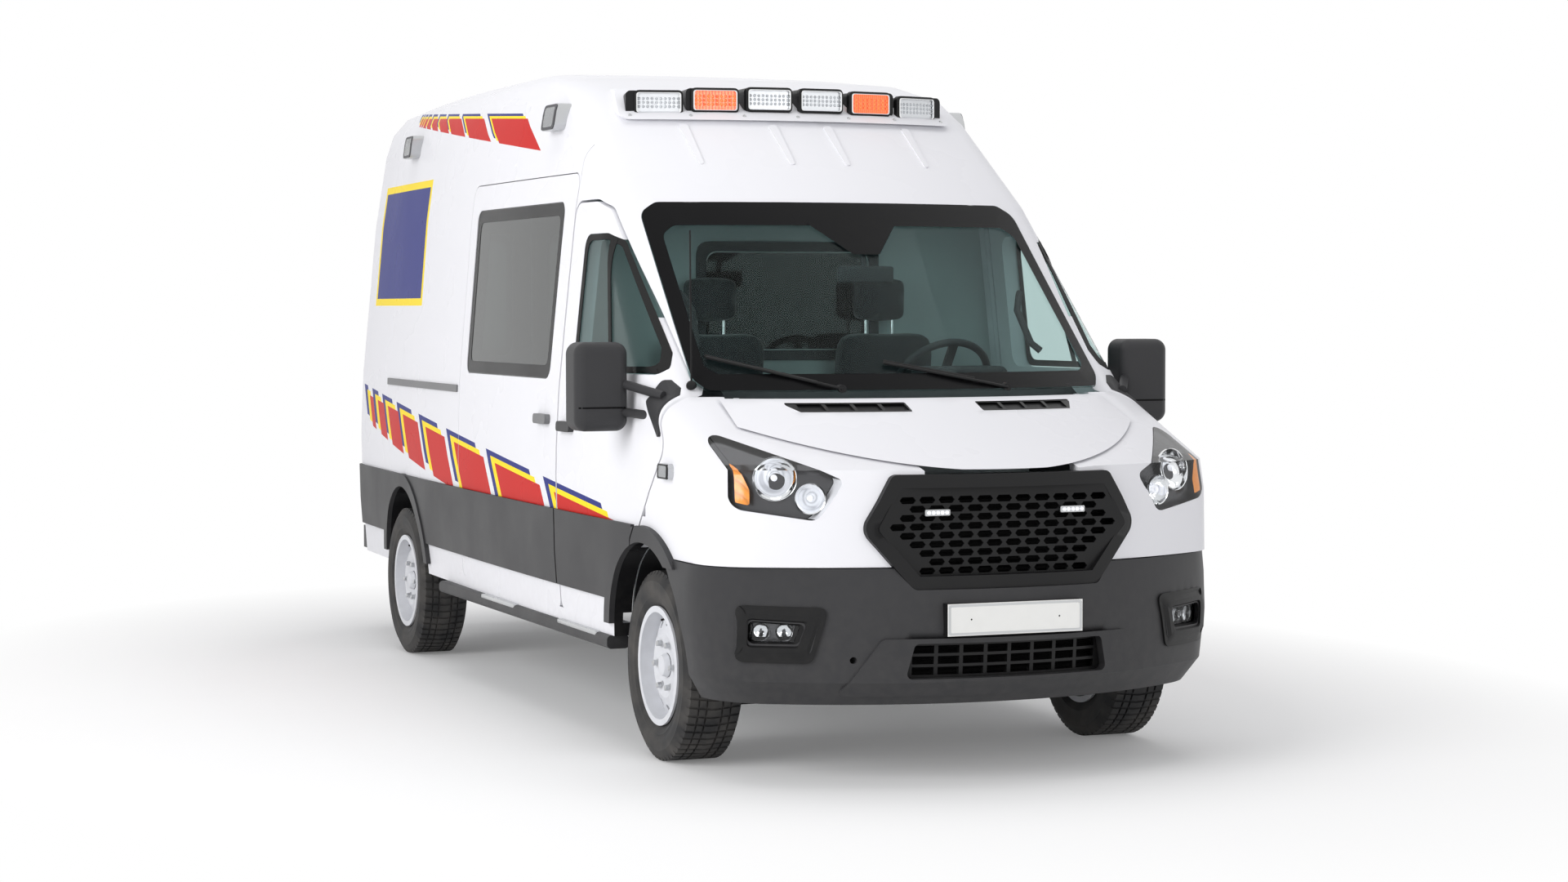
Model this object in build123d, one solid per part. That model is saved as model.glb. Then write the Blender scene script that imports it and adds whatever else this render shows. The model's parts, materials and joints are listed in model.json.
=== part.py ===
"""High-roof van ambulance: body panels, doors, running gear and cab fittings, one STEP file a piece.

X is across the vehicle with plus to its own left, Y runs from front to rear, Z is up.
Stations are measured back from the front of the bumper; all sizes are in millimetres.
"""
from build123d import *
import os
from functools import lru_cache
from math import asin, cos, degrees, hypot, radians, sin, sqrt

os.makedirs("parts", exist_ok=True)

# Overall sizes
LENGTH = 5981.0
WHEELBASE = 3750.0
FRONT_OVERHANG = 1023.0
TRACK = 1734.0
TYRE_RADIUS = 352.0
TYRE_WIDTH = 235.0
MIRROR_HALF = 1237.0

# Body shell
WALL = 70.0
ROOF_WALL = 50.0
DOOR_SKIN = 35.0
DOOR_GAP = 10.0
JAMB_STEP = 40.0
PANEL_GAP = 4.0
REAR_TAPER = 75.0
REAR_CORNER = 130.0
SIDE_BOW = 42.0
GLASS_OUTER = 4.0
GLASS_INNER = 10.0
CLADDING = 14.0
ROOF_SEAM = 2330.0
SILL_LOW = 420.0
SILL_TOP = 470.0
COWL_HEIGHT = 1345.0
REACH = 1400.0

# Wheel arches
ARCH_RADIUS = 424.0
ARCH_HEIGHT = 386.0
FLARE_WIDTH = 62.0
FLARE_PROUD = 22.0

# Stations of the side
DOOR_REAR = 2107.0
SLIDER_FRONT = 2122.0
SLIDER_REAR = 3660.0
REAR_AXLE = FRONT_OVERHANG + WHEELBASE

# Plan outline of the body at each height, from the sill to the roof:
# height, nose station, radius of the bowed front, half width, front corner radius, tail station
BODY_LEVELS = [
    (340.0, 66.0, 1750.0, 983.0, 260.0, 5923.0),
    (700.0, 62.0, 1750.0, 1006.0, 270.0, 5932.0),
    (1000.0, 66.0, 1700.0, 1012.0, 280.0, 5935.0),
    (1108.0, 84.0, 1650.0, 1010.0, 290.0, 5935.0),
    (1352.0, 705.0, 1530.0, 998.0, 200.0, 5935.0),
    (2085.0, 1583.0, 2100.0, 928.0, 170.0, 5930.0),
    (2450.0, 2085.0, 2300.0, 872.0, 170.0, 5915.0),
    (2560.0, 2280.0, 2400.0, 840.0, 170.0, 5890.0),
    (2640.0, 2620.0, 2500.0, 778.0, 160.0, 5850.0),
    (2695.0, 3150.0, 2600.0, 660.0, 140.0, 5790.0),
    (2730.0, 3900.0, 2700.0, 410.0, 110.0, 5650.0),
]

# Plan outline of the front bumper, same columns; its tail only has to lie behind the arch
BUMPER_LEVELS = [
    (285.0, 105.0, 1500.0, 950.0, 330.0, 1500.0),
    (370.0, 30.0, 1500.0, 1000.0, 330.0, 1500.0),
    (560.0, 14.0, 1500.0, 1022.0, 330.0, 1500.0),
    (690.0, 24.0, 1500.0, 1024.0, 330.0, 1500.0),
    (767.0, 46.0, 1550.0, 1016.0, 310.0, 1500.0),
]
COWL_LEVEL = 4
BUMPER_WALL = 75.0
BUMPER_TOP = 767.0

SILL_FRONT = 1300.0

# Side outlines: station, height, corner radius
CAB_DOOR = [
    (1150.0, 690.0, 0.0), (1150.0, 815.0, 30.0), (830.0, 1165.0, 60.0), (1005.0, 1385.0, 60.0),
    (1780.0, 2060.0, 90.0), (1870.0, 2092.0, 60.0), (DOOR_REAR, 2092.0, 60.0), (DOOR_REAR, SILL_TOP, 30.0),
    (SILL_FRONT, SILL_TOP, 0.0),
]
CAB_WINDOW = [
    (1080.0, 1425.0, 20.0), (1140.0, 1500.0, 60.0), (1630.0, 1935.0, 90.0), (1720.0, 1965.0, 60.0),
    (1955.0, 1965.0, 60.0), (1955.0, 1425.0, 60.0),
]
SLIDER = [
    (SLIDER_FRONT, SILL_TOP, 30.0), (SLIDER_FRONT, 2215.0, 60.0), (SLIDER_REAR, 2215.0, 60.0),
    (SLIDER_REAR, SILL_TOP, 30.0),
]
SIDE_WINDOW = [
    (2255.0, 1385.0, 55.0), (2255.0, 2105.0, 55.0), (3555.0, 2105.0, 55.0), (3555.0, 1385.0, 55.0),
]
HOOD_SIDE = [
    (0.0, 1100.0, 0.0), (60.0, 1100.0, 0.0), (650.0, 1246.0, 0.0), (886.0, 1340.0, 0.0), (0.0, 1340.0, 0.0),
]

# Front outlines: x, height, corner radius
WINDSCREEN = [
    (-800.0, 1364.0, 40.0), (-838.0, 1405.0, 40.0), (-806.0, 2045.0, 60.0), (-740.0, 2086.0, 60.0),
    (740.0, 2086.0, 60.0), (806.0, 2045.0, 60.0), (838.0, 1405.0, 40.0), (800.0, 1364.0, 40.0),
]
GRILLE = [
    (-420.0, 1092.0, 30.0), (-530.0, 900.0, 60.0), (-356.0, 693.0, 30.0),
    (356.0, 693.0, 30.0), (530.0, 900.0, 60.0), (420.0, 1092.0, 30.0),
]
HEADLAMP = [
    (-575.0, 1072.0, 20.0), (-600.0, 1030.0, 20.0), (-668.0, 932.0, 40.0), (-940.0, 975.0, 50.0),
    (-922.0, 1240.0, 40.0),
]
REAR_DOOR = [
    (6.0, 560.0, 0.0), (6.0, 2400.0, 0.0), (690.0, 2400.0, 80.0), (805.0, 1400.0, 0.0), (805.0, 560.0, 50.0),
]
REAR_WINDOW = [
    (90.0, 1420.0, 50.0), (90.0, 2060.0, 50.0), (590.0, 2060.0, 50.0), (650.0, 1420.0, 50.0),
]
BULKHEAD_WINDOW = [
    (-360.0, 1500.0, 50.0), (-360.0, 1900.0, 50.0), (360.0, 1900.0, 50.0), (360.0, 1500.0, 50.0),
]

# Reach of the cuts: inner end of the side cuts, ahead of the nose, behind the tail, above the roof
SIDE_IN = 600.0
AHEAD = -50.0
BEHIND = 6200.0
ABOVE = 3000.0
FRONT_CUT = 500.0
LAMP_CUT = 800.0
SCREEN_CUT = (300.0, 2600.0)
REAR_CUT = 5700.0
REAR_HOLE_CUT = 5000.0

# Fender outline from the side: station, height, corner radius
FENDER_LOW = BUMPER_TOP + PANEL_GAP
FENDER_SIDE = [
    (0.0, FENDER_LOW, 0.0), (0.0, 1092.0, 0.0), (62.0, 1092.0, 0.0), (652.0, 1238.0, 0.0), (892.0, 1327.0, 0.0),
    (910.0, COWL_HEIGHT, 0.0), (1146.0, COWL_HEIGHT, 0.0), (1146.0, FENDER_LOW, 0.0),
]
FENDER_IN = 300.0
COWL_GAP = 7.0

# Pillar behind the cab door
PILLAR_FRONT = 2077.0
PILLAR_TOP = 2102.0
PILLAR_GAP = 8.0

# Pull handles and the rail of the sliding door
CAB_HANDLE = (1976.0, 1203.0)
SLIDER_HANDLE = (2300.0, 1223.0)
HANDLE_PROUD = 24.0
HANDLE_HALF = 85.0
HANDLE_RISE = 20.0
HANDLE_CORNER = 16.0
SLIDE_RAIL = (3690.0, 5150.0, 1296.0, 1328.0)
SLIDE_RAIL_PROUD = 8.0
SLIDE_RAIL_CORNER = 6.0

# Side steps: inner and outer x, front and rear station, underside, edge radius
SIDE_STEP_X = (932.0, 1022.0)
SIDE_STEP_ENDS = (1470.0, 3960.0)
SIDE_STEP_LOW = 368.0
SIDE_STEP_EDGE = 18.0

# Rear step
STEP_HALF = 890.0
STEP_FRONT = 5900.0
STEP_LOW = 425.0
STEP_TOP = 540.0
PLATE_SEAT_GAP = 2.0
PLATE_SCREW_DEPTH = 40.0

# Hinge line of the cab door: at the skin, where it crosses the slanting front shut line
DOOR_HINGE_X = 1006.0
DOOR_HINGE_STATION = 1040.0
DOOR_PIN_RADIUS = 4.5
DOOR_PIN_LOW = 880.0
DOOR_PIN_HIGH = 1000.0
PIN_CLEARANCE = 0.1
PIN_HOLE_LOW = 800.0
PIN_END_GAP = 5.0

# Lower cladding and where the flares are trimmed
CLADDING_LOW = 565.0
CLADDING_HIGH = 868.0
CLADDING_REAR = 5880.0
FLARE_TOP = 1200.0
FLARE_REAR = 1142.0
FLARE_DROP = 30.0

# Hood hinge: pins on the wings, ears on the hood
HOOD_HINGE_STATION = 915.0
HOOD_HINGE_HEIGHT = 1325.0
HOOD_PIN_RADIUS = 7.0
HOOD_EAR = 16.0
HOOD_EAR_IN = 690.0
HOOD_EAR_OUT = 708.0
HOOD_COWL_GAP = 12.0
# Gooseneck arm of the hood hinge, measured from the hinge axis: station, height; it passes under the cowl edge
HOOD_ARM = [
    (14.0, -7.0), (-13.0, 6.0), (-45.0, -42.0), (-130.0, -64.0), (-170.0, -24.0), (-190.0, -36.0), (-160.0, -100.0),
    (-15.0, -70.0),
]
# Room for the hood hinge in the wing: beside the ear, then front and rear station, low and high
HINGE_ROOM = 40.0
HINGE_POCKET = (640.0, 1200.0, 1200.0, 1400.0)
HOOD_PIN_OUT = 830.0
HOOD_PIN_LAP = 6.0
HOOD_BORE_OUT = 900.0
HOOD_EAR_INSET = 6.0
HOOD_NOSE_LOW = 1094.0
HOOD_NOSE_REAR = 300.0
# Air vents in the hood, right one, seen from the front: x, height, corner radius
HOOD_VENT = [(-140.0, 1294.0, 6.0), (-140.0, 1326.0, 6.0), (-590.0, 1326.0, 6.0), (-545.0, 1294.0, 6.0)]
VENT_POCKET = 36.0
VENT_FACE = 6.0
VENT_FLOOR = 26.0
VENT_COLUMNS = 4
VENT_BAR = 7.0
VENT_RIM = 5.0
# Relief in the wing round the cab door hinge
HINGE_RELIEF = 24.0
HINGE_RELIEF_LOW = 905.0

# Rear door hinges: axis behind the skin, just outside the door edge
REAR_HINGE_X = 816.0
REAR_HINGE_STATION = 5955.0
REAR_PIN_RADIUS = 8.0
REAR_KNUCKLE_RADIUS = 15.0
REAR_HINGE_HEIGHTS = (640.0, 1300.0)
KNUCKLE_LENGTH = 60.0
KNUCKLE_GAP = 1.0
LEAF_WIDTH = 60.0
LEAF_FRONT = 5920.0
LEAF_BACK = 8.0
HINGE_PLATE = (6.0, 50.0)
HINGE_PLATE_FRONT = 5900.0
HINGE_PLATE_DROP = 40.0
PIN_ROOT = 20.0

# Front end
FOG_LAMP = [(-890.0, 506.0, 20.0), (-890.0, 586.0, 20.0), (-716.0, 576.0, 16.0), (-738.0, 506.0, 16.0)]
FOG_SURROUND = [(-920.0, 474.0, 30.0), (-924.0, 624.0, 30.0), (-672.0, 604.0, 24.0), (-700.0, 468.0, 24.0)]
CHIN = [(-610.0, 318.0, 20.0), (-470.0, 524.0, 30.0), (470.0, 524.0, 30.0), (610.0, 318.0, 20.0)]
MOULDING_PROUD = 10.0
FOG_INSET = 14.0
FORM_OPEN = 60.0
BUMPER_REAR = 900.0
LOWER_GRILLE = [(-390.0, 382.0, 20.0), (-360.0, 507.0, 20.0), (360.0, 507.0, 20.0), (390.0, 382.0, 20.0)]
TRIM_GAP = 0.5
GRILLE_RING = 46.0
GRILLE_PROUD = 24.0
TRIM_DEPTH = 60.0
HEADLAMP_PROUD = 3.0
# Slats of the lower air opening: openings across and up, place of the first, pitch and size
SLAT_COUNT = (8, 3)
SLAT_START = (-352.0, 392.0)
SLAT_PITCH = (90.0, 38.0)
SLAT_SIZE = (76.0, 28.0)
SLAT_INSET = (34.0, 54.0)
HOLDER_REAR = 90.0
CELL_PITCH = 74.0
CELL_ROW = 31.0
CELL_WIDTH = 62.0
CELL_HEIGHT = 24.0
CELL_TIP = 10.0
CELL_EDGE = 12.0
MESH_MARGIN = 4.0
MESH_LAP = 6.0
MESH_STATION = 96.0
MESH_THICK = 12.0
PLATE_WIDTH = 520.0
PLATE_HEIGHT = 112.0
PLATE_THICK = 3.0
PLATE_LOW = 534.0
PLATE_HOLE_SPACING = 340.0
PLATE_HOLE = 3.5
TOW_X = -560.0
TOW_HEIGHT = 450.0
TOW_RADIUS = 12.0

TAIL_LAMP = [(838.0, 730.0, 12.0), (830.0, 1230.0, 12.0), (892.0, 1230.0, 12.0), (906.0, 730.0, 12.0)]
TAIL_LAMP_PROUD = 8.0
REAR_PLATE_LOW = 427.0

# Mirrors: sail plate on the door, two arms and a tall head
MIRROR_IN = 1030.0
MIRROR_FRONT = 1160.0
MIRROR_DEPTH = 130.0
MIRROR_LOW = 1215.0
MIRROR_HIGH = 1546.0
MIRROR_EDGE = 45.0
MIRROR_NOSE = 40.0
SAIL_PROUD = 10.0
MIRROR_ARM_IN = 950.0
MIRROR_ARM_LAP = (40.0, 60.0)
MIRROR_ARM_RADIUS = 17.0
SAIL = [(842.0, 1168.0, 8.0), (1012.0, 1378.0, 8.0), (1072.0, 1415.0, 8.0), (1060.0, 1330.0, 20.0)]
MIRROR_ARMS = [
    # door station, door height, head height
    (975.0, 1270.0, 1290.0),
    (1010.0, 1350.0, 1400.0),
]

# Warning lamps
LAMP_X = (-568.0, -341.0, -114.0, 114.0, 341.0, 568.0)
LAMP_WIDTH = 196.0
LAMP_HEIGHT = 98.0
LAMP_MIDDLE = 2524.0
LAMP_DROOP = 18.0
LAMP_FACE = 2092.0
LAMP_BOW = 2350.0
PLINTH = 18.0
PLINTH_CUT = (1900.0, 3000.0)
PLINTH_OUTLINE = [(-740.0, 2436.0, 30.0), (-690.0, 2578.0, 30.0), (690.0, 2578.0, 30.0), (740.0, 2436.0, 30.0)]
LAMP_DEPTH = 300.0
LAMP_CORNER = 20.0
# Roof side lamps and wing markers: stations, middle height, half length, half height, corner, how far they stand out
SIDE_LAMPS = (2511.0, 4979.0)
SIDE_LAMP = (2460.0, 85.0, 55.0, 25.0)
SIDE_LAMP_PROUD = 45.0
FENDER_LAMP = (771.0, 1085.0, 55.0, 28.0, 20.0)
FENDER_LAMP_PROUD = 22.0

# Wheels: rim profile as radius and offset outward from the middle of the tyre
RIM_SECTION = [
    (206.0, -97.0), (221.0, -97.0), (221.0, -106.0), (198.0, -106.0), (198.0, 36.0), (150.0, 58.0), (118.0, 70.0),
    (62.0, 58.0), (45.0, 58.0), (45.0, 66.0), (62.0, 66.0), (119.0, 79.0), (151.0, 67.0), (198.0, 46.0),
    (198.0, 106.0), (221.0, 106.0), (221.0, 97.0), (206.0, 97.0),
]
TYRE_SECTION = [(206.0, -88.0), (290.0, -TYRE_WIDTH / 2), (TYRE_RADIUS, -96.0)]
RIM_HOLES = 14
RIM_HOLE_RING = 160.0
RIM_HOLE_RADIUS = 14.0
HUB_RADIUS = 44.6
# Hub of a wheel: inner and outer offset from the middle of the tyre, radius
HUB_STEPS = [(-95.0, 40.0, 58.0), (38.0, 56.0, 78.0), (50.0, 66.0, HUB_RADIUS)]

# Steering axis of the front wheels, leaning in towards the top: x and height of two points on it
KING_LOW = (800.0, 250.0)
KING_HIGH = (615.0, 950.0)
STRUT_TOP = 790.0
STRUT_RADIUS = 28.0
STUD_RADIUS = 10.0
STUD_HOLE = (-40.0, 32.0)
STUD_LOW = 200.0
STUD_LAP = 28.0
# Front cross member, its legs up to the rails and the lower arms: x, stations, heights
CROSS_HALF = 480.0
CROSS_STATIONS = (970.0, 1080.0)
CROSS_HEIGHTS = (196.0, 300.0)
LEG_STATIONS = (980.0, 1070.0)
LEG_LAP = 10.0
ARM_X = (440.0, 838.0)
ARM_STATIONS = (990.0, 1056.0)
ARM_HEIGHTS = (196.0, 226.0)
# Rear axle: half length and radius of its tube, then half width and radius of the two steps of its middle
AXLE_TUBE = (780.0, 50.0)
AXLE_STEPS = [(90.0, 145.0), (150.0, 100.0)]
# Rear springs: x, stations and heights of the leaves, then x and length of the hangers
SPRING_X = (565.0, 635.0)
SPRING_STATIONS = (4080.0, 5466.0)
SPRING_HEIGHTS = (402.0, 438.0)
HANGER_X = (560.0, 640.0)
HANGER_LENGTH = 60.0

# Chassis, floor and cab
RAIL_LOW = 500.0
RAIL_X = (390.0, 470.0)
RAIL_STATIONS = (100.0, 5840.0)
RAIL_JOINT = 1400.0
RAIL_LAP = 10.0
JACK_STATIONS = (1700.0, 4000.0)
JACK_PAD = 70.0
JACK_DROP = 15.0
FLOOR_LOW = 640.0
FLOOR_TOP = 690.0
HOUSE_THICK = 16.0
HOUSE_IN = 545.0
BULKHEAD = 2170.0
FIREWALL = 1000.0
DOOR_CLEAR = 7.0
FLOOR_REAR = 5900.0
FIREWALL_HALF = 540.0
FIREWALL_THICK = 12.0
FIREWALL_TOP = 1250.0
BULKHEAD_THICK = 36.0
BULKHEAD_TOP = 2560.0
BULKHEAD_CUT = (2000.0, 2400.0)
PANE_DEPTH = (14.0, 20.0)
HOUSE_DOOR_CUT = (1100.0, 2000.0)
# Engine block, its mounts on the rails and the fuel tank: x, stations, heights
ENGINE = (-300.0, 300.0, 330.0, 940.0, 520.0, 1050.0)
ENGINE_MOUNTS = (-390.0, 390.0, 560.0, 660.0, 560.0, FLOOR_LOW)
TANK = (470.0, 850.0, 2500.0, 3500.0, 430.0, FLOOR_LOW)
# Propeller shaft: front station and height, how far it ends before and above the axle, radius
SHAFT_FRONT = (942.3, 560.0)
SHAFT_END = (160.0, 14.0)
SHAFT_RADIUS = 38.0

# Cab fittings
DRIVER_X = 375.0
DASH_FRONT = FIREWALL + FIREWALL_THICK
DASH = [
    (DASH_FRONT, 880.0, 0.0), (DASH_FRONT, 1270.0, 20.0), (935.0, 1290.0, 0.0), (940.0, 1330.0, 15.0),
    (1080.0, 1402.0, 60.0), (1250.0, 1396.0, 60.0), (1362.0, 1355.0, 40.0), (1372.0, 1230.0, 40.0),
    (1290.0, 1060.0, 60.0), (1190.0, 880.0, 30.0),
]
DASH_HALF = 725.0
WHEEL_STATION = 1455.0
WHEEL_CENTRE_HEIGHT = 1385.0
COLUMN_RAKE = 38.0
DASH_CLEAR = 6.0
WHEEL_RADIUS = 190.0
WHEEL_GRIP = 15.0
BOSS_RADIUS = 62.0
BOSS_DEPTH = 44.0
BOSS_SINK = 12.0
SPOKE = (34.0, 16.0)
SPOKE_SINK = 4.0
SPOKE_TURNS = (0, 180, 270)
COLUMN_GAP = 35.0
COLUMN_RADIUS = 30.0
COLUMN_LENGTH = 190.0
SEAT_FRONT = 1590.0
SEAT_SIDE = [
    # station, height, corner radius
    (SEAT_FRONT, 1050.0, 40.0), (SEAT_FRONT, 1145.0, 40.0), (1955.0, 1120.0, 30.0), (2025.0, 1590.0, 30.0),
    (2120.0, 1590.0, 40.0), (2085.0, 1045.0, 40.0),
]
SEAT_HALF = 240.0
# Head rest: half width, stations, heights, edge; then its posts and the seat base
REST_HALF = 118.0
REST_STATIONS = (2045.0, 2130.0)
REST_HEIGHTS = (1612.0, 1800.0)
REST_EDGE = 30.0
POST_OFFSET = 60.0
POST_STATION = 2088.0
POST_HEIGHTS = (1560.0, 1680.0)
POST_RADIUS = 8.0
BASE_HALF = 200.0
BASE_STATIONS = (1620.0, 2040.0)
BASE_TOP = 1085.0

# Wipers and aerial on the windscreen
WIPERS = [
    # pivot x, pivot height, tip x, tip height
    (-340.0, 1374.0, -765.0, 1488.0),
    (330.0, 1374.0, -140.0, 1466.0),
]
WIPER_STEPS = 5
WIPER_LIFT = 12.0
WIPER_RADIUS = 6.0
AERIAL_FOOT = (-845.0, 1386.0)
AERIAL_TOP = 1960.0
AERIAL_RADIUS = 3.5
AERIAL_LEAN = (10.0, 40.0)
AERIAL_BASE = 20.0
PIVOT_RADIUS = 16.0
PIVOT_SINK = 20.0


def at(station):
    """Frame Y of a station measured back from the front of the bumper."""
    return station - LENGTH / 2


def arc(start, middle, end, height):
    """Arc through three plan points (x, station) at one height."""
    points = [(x, at(s), height) for x, s in (start, middle, end)]
    return Edge.make_three_point_arc(*points)


def line(start, end, height):
    """Straight edge between two plan points (x, station) at one height."""
    return Edge.make_line((start[0], at(start[1]), height), (end[0], at(end[1]), height))


def plan_outline(level, inset, height, rear_corner, taper, side_bow):
    """Closed plan outline: bowed front, round front corners, bowed sides, round rear corners."""
    _, nose, bow, half, corner, tail = level
    nose, tail = nose + inset, tail - inset
    bow, half, corner = bow - inset, half - inset, corner - inset
    round_rear = rear_corner - inset
    rear_half = half - taper
    centre = nose + bow
    corner_x = half - corner
    corner_s = centre - sqrt((bow - corner) ** 2 - corner_x ** 2)
    reach = bow / (bow - corner)
    touch = (corner_x * reach, centre + (corner_s - centre) * reach)
    lead_x = (touch[0] - corner_x) / corner
    lead_s = (touch[1] - corner_s) / corner
    spread = hypot(lead_x + 1.0, lead_s)
    turn = (corner_x + corner * (lead_x + 1.0) / spread, corner_s + corner * lead_s / spread)
    side = (half, corner_s)
    rear_side = (rear_half, tail - round_rear)
    bend = round_rear * (1.0 - sqrt(0.5))
    rear_turn = (rear_half - bend, tail - bend)
    rear_end = (rear_half - round_rear, tail)
    bulge = ((half + rear_half) / 2 + side_bow, (side[1] + rear_side[1]) / 2)

    def flip(point):
        return (-point[0], point[1])

    edges = [
        arc(flip(touch), (0.0, nose), touch, height),
        arc(touch, turn, side, height),
        arc(side, bulge, rear_side, height),
        arc(rear_side, rear_turn, rear_end, height),
        line(rear_end, flip(rear_end), height),
        arc(flip(rear_end), flip(rear_turn), flip(rear_side), height),
        arc(flip(rear_side), flip(bulge), flip(side), height),
        arc(flip(side), flip(turn), flip(touch), height),
    ]
    return Wire(edges)


@lru_cache(maxsize=None)
def envelope(inset):
    """Whole body form, set in by a distance."""
    wires = []
    for level in BODY_LEVELS:
        height = level[0]
        if height > ROOF_SEAM:
            height -= ROOF_WALL * inset / WALL
        wires.append(plan_outline(level, inset, height, REAR_CORNER, REAR_TAPER, SIDE_BOW))
    return Solid.make_loft(wires, ruled=True)


@lru_cache(maxsize=None)
def bumper_form(inset, below=0.0):
    """Front bumper form, set in by a distance; below opens its top and bottom."""
    wires = []
    for level in BUMPER_LEVELS:
        height = level[0]
        if level is BUMPER_LEVELS[0]:
            height -= below
        if level is BUMPER_LEVELS[-1]:
            height += below
        wires.append(plan_outline(level, inset, height, REAR_CORNER, 0.0, 4.0))
    return Solid.make_loft(wires, ruled=True)


def outline_face(plane, points, grow=0.0):
    """Face on a plane from corner points with radii, grown or shrunk evenly."""
    corners = [(u, v) for u, v, _ in points]
    radii = [r for _, _, r in points]
    face = make_face(FilletPolyline(*corners, radius=radii, close=True).edges())
    if grow:
        face = offset(face, amount=grow, kind=Kind.INTERSECTION)
    return plane * face


def side_prism(points, start, end, grow=0.0):
    """Prism across the vehicle from a side outline of stations and heights."""
    corners = [(at(s), z, r) for s, z, r in points]
    face = outline_face(Plane.YZ.offset(start), corners, grow)
    return extrude(face, amount=end - start, dir=(1, 0, 0))


def front_prism(points, start, end, grow=0.0):
    """Prism along the vehicle from a front outline of x and heights."""
    plane = Plane((0, at(start), 0), x_dir=(1, 0, 0), z_dir=(0, -1, 0))
    return extrude(outline_face(plane, points, grow), amount=end - start, dir=(0, 1, 0))


def block(x0, x1, s0, s1, z0, z1):
    """Plain block between two x values, two stations and two heights."""
    return Pos((x0 + x1) / 2, at((s0 + s1) / 2), (z0 + z1) / 2) * Box(x1 - x0, s1 - s0, z1 - z0)


def rod(start, end, radius):
    """Round bar between two points given as x, station, height."""
    a = Vector(start[0], at(start[1]), start[2])
    b = Vector(end[0], at(end[1]), end[2])
    return Solid.make_cylinder(radius, (b - a).length, Plane(a, z_dir=b - a))


def mirrored(shape):
    """The same piece on the other side of the vehicle."""
    return mirror(shape, about=Plane.YZ)


def both(shape):
    """A piece and its twin on the other side, kept as separate solids."""
    return solids_of(shape) + solids_of(mirrored(shape))


def solids_of(*shapes):
    """Flat list of the solids in some shapes."""
    found = []
    for shape in shapes:
        if isinstance(shape, (list, tuple)):
            found += solids_of(*shape)
        else:
            found += list(shape.solids())
    return found


def save(name, *shapes):
    """Write one node."""
    solids = solids_of(*shapes)
    piece = solids[0] if len(solids) == 1 else Compound(children=solids)
    export_step(piece, f"parts/{name}.step")


def largest(shape):
    """The biggest solid of a shape, dropping slivers left by a cut."""
    return max(shape.solids(), key=lambda solid: solid.volume)


# Shared forms of the body
OUTER = envelope(0.0)
SKIN = envelope(DOOR_SKIN)
INNER = envelope(WALL)
SHELL = OUTER - INNER
SKIN_LAYER = OUTER - SKIN
CORE_LAYER = SKIN - INNER
GLASS_LAYER = envelope(GLASS_OUTER) - envelope(GLASS_INNER)
CLAD_LAYER = envelope(-CLADDING) - envelope(0.0)
FLARE_LAYER = envelope(-FLARE_PROUD) - envelope(0.0)


def arch(station, radius, x0=-REACH, x1=REACH):
    """Cylinder across the vehicle at an axle station."""
    return rod((x0, station, ARCH_HEIGHT), (x1, station, ARCH_HEIGHT), radius)


FRONT_ARCH = arch(FRONT_OVERHANG, ARCH_RADIUS)
REAR_ARCH = arch(REAR_AXLE, ARCH_RADIUS)


def cab_door():
    """Right cab door with its window hole, glass, lower cladding and handle."""
    frame = (SKIN_LAYER & side_prism(CAB_DOOR, -REACH, -SIDE_IN))
    frame = frame + (CORE_LAYER & side_prism(CAB_DOOR, -REACH, -SIDE_IN, -JAMB_STEP))
    window = side_prism(CAB_WINDOW, -REACH, -SIDE_IN)
    pin_hole = rod((-DOOR_HINGE_X, DOOR_HINGE_STATION, PIN_HOLE_LOW),
                   (-DOOR_HINGE_X, DOOR_HINGE_STATION, DOOR_PIN_HIGH + PIN_END_GAP), DOOR_PIN_RADIUS + PIN_CLEARANCE)
    door = largest(frame - window - FRONT_ARCH - pin_hole)
    glass = largest(GLASS_LAYER & window)
    band = CLAD_LAYER & side_prism(cladding_band(CAB_DOOR[0][0], DOOR_REAR), -REACH, -SIDE_IN)
    flare = FLARE_LAYER & (arch(FRONT_OVERHANG, ARCH_RADIUS + FLARE_WIDTH, -REACH, -SIDE_IN) - FRONT_ARCH)
    flare = flare & side_prism(CAB_DOOR, -REACH, -SIDE_IN)
    cladding = largest((band + flare) - FRONT_ARCH)
    pull = largest(layer(-HANDLE_PROUD, 0) & side_prism(handle(*CAB_HANDLE), -REACH, -SIDE_IN))
    return door, glass, [cladding, pull]


def cladding_band(front, rear):
    """Side outline of the cladding between two stations."""
    return [(front, CLADDING_LOW, 0.0), (front, CLADDING_HIGH, 0.0), (rear, CLADDING_HIGH, 0.0),
            (rear, CLADDING_LOW, 0.0)]


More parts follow.
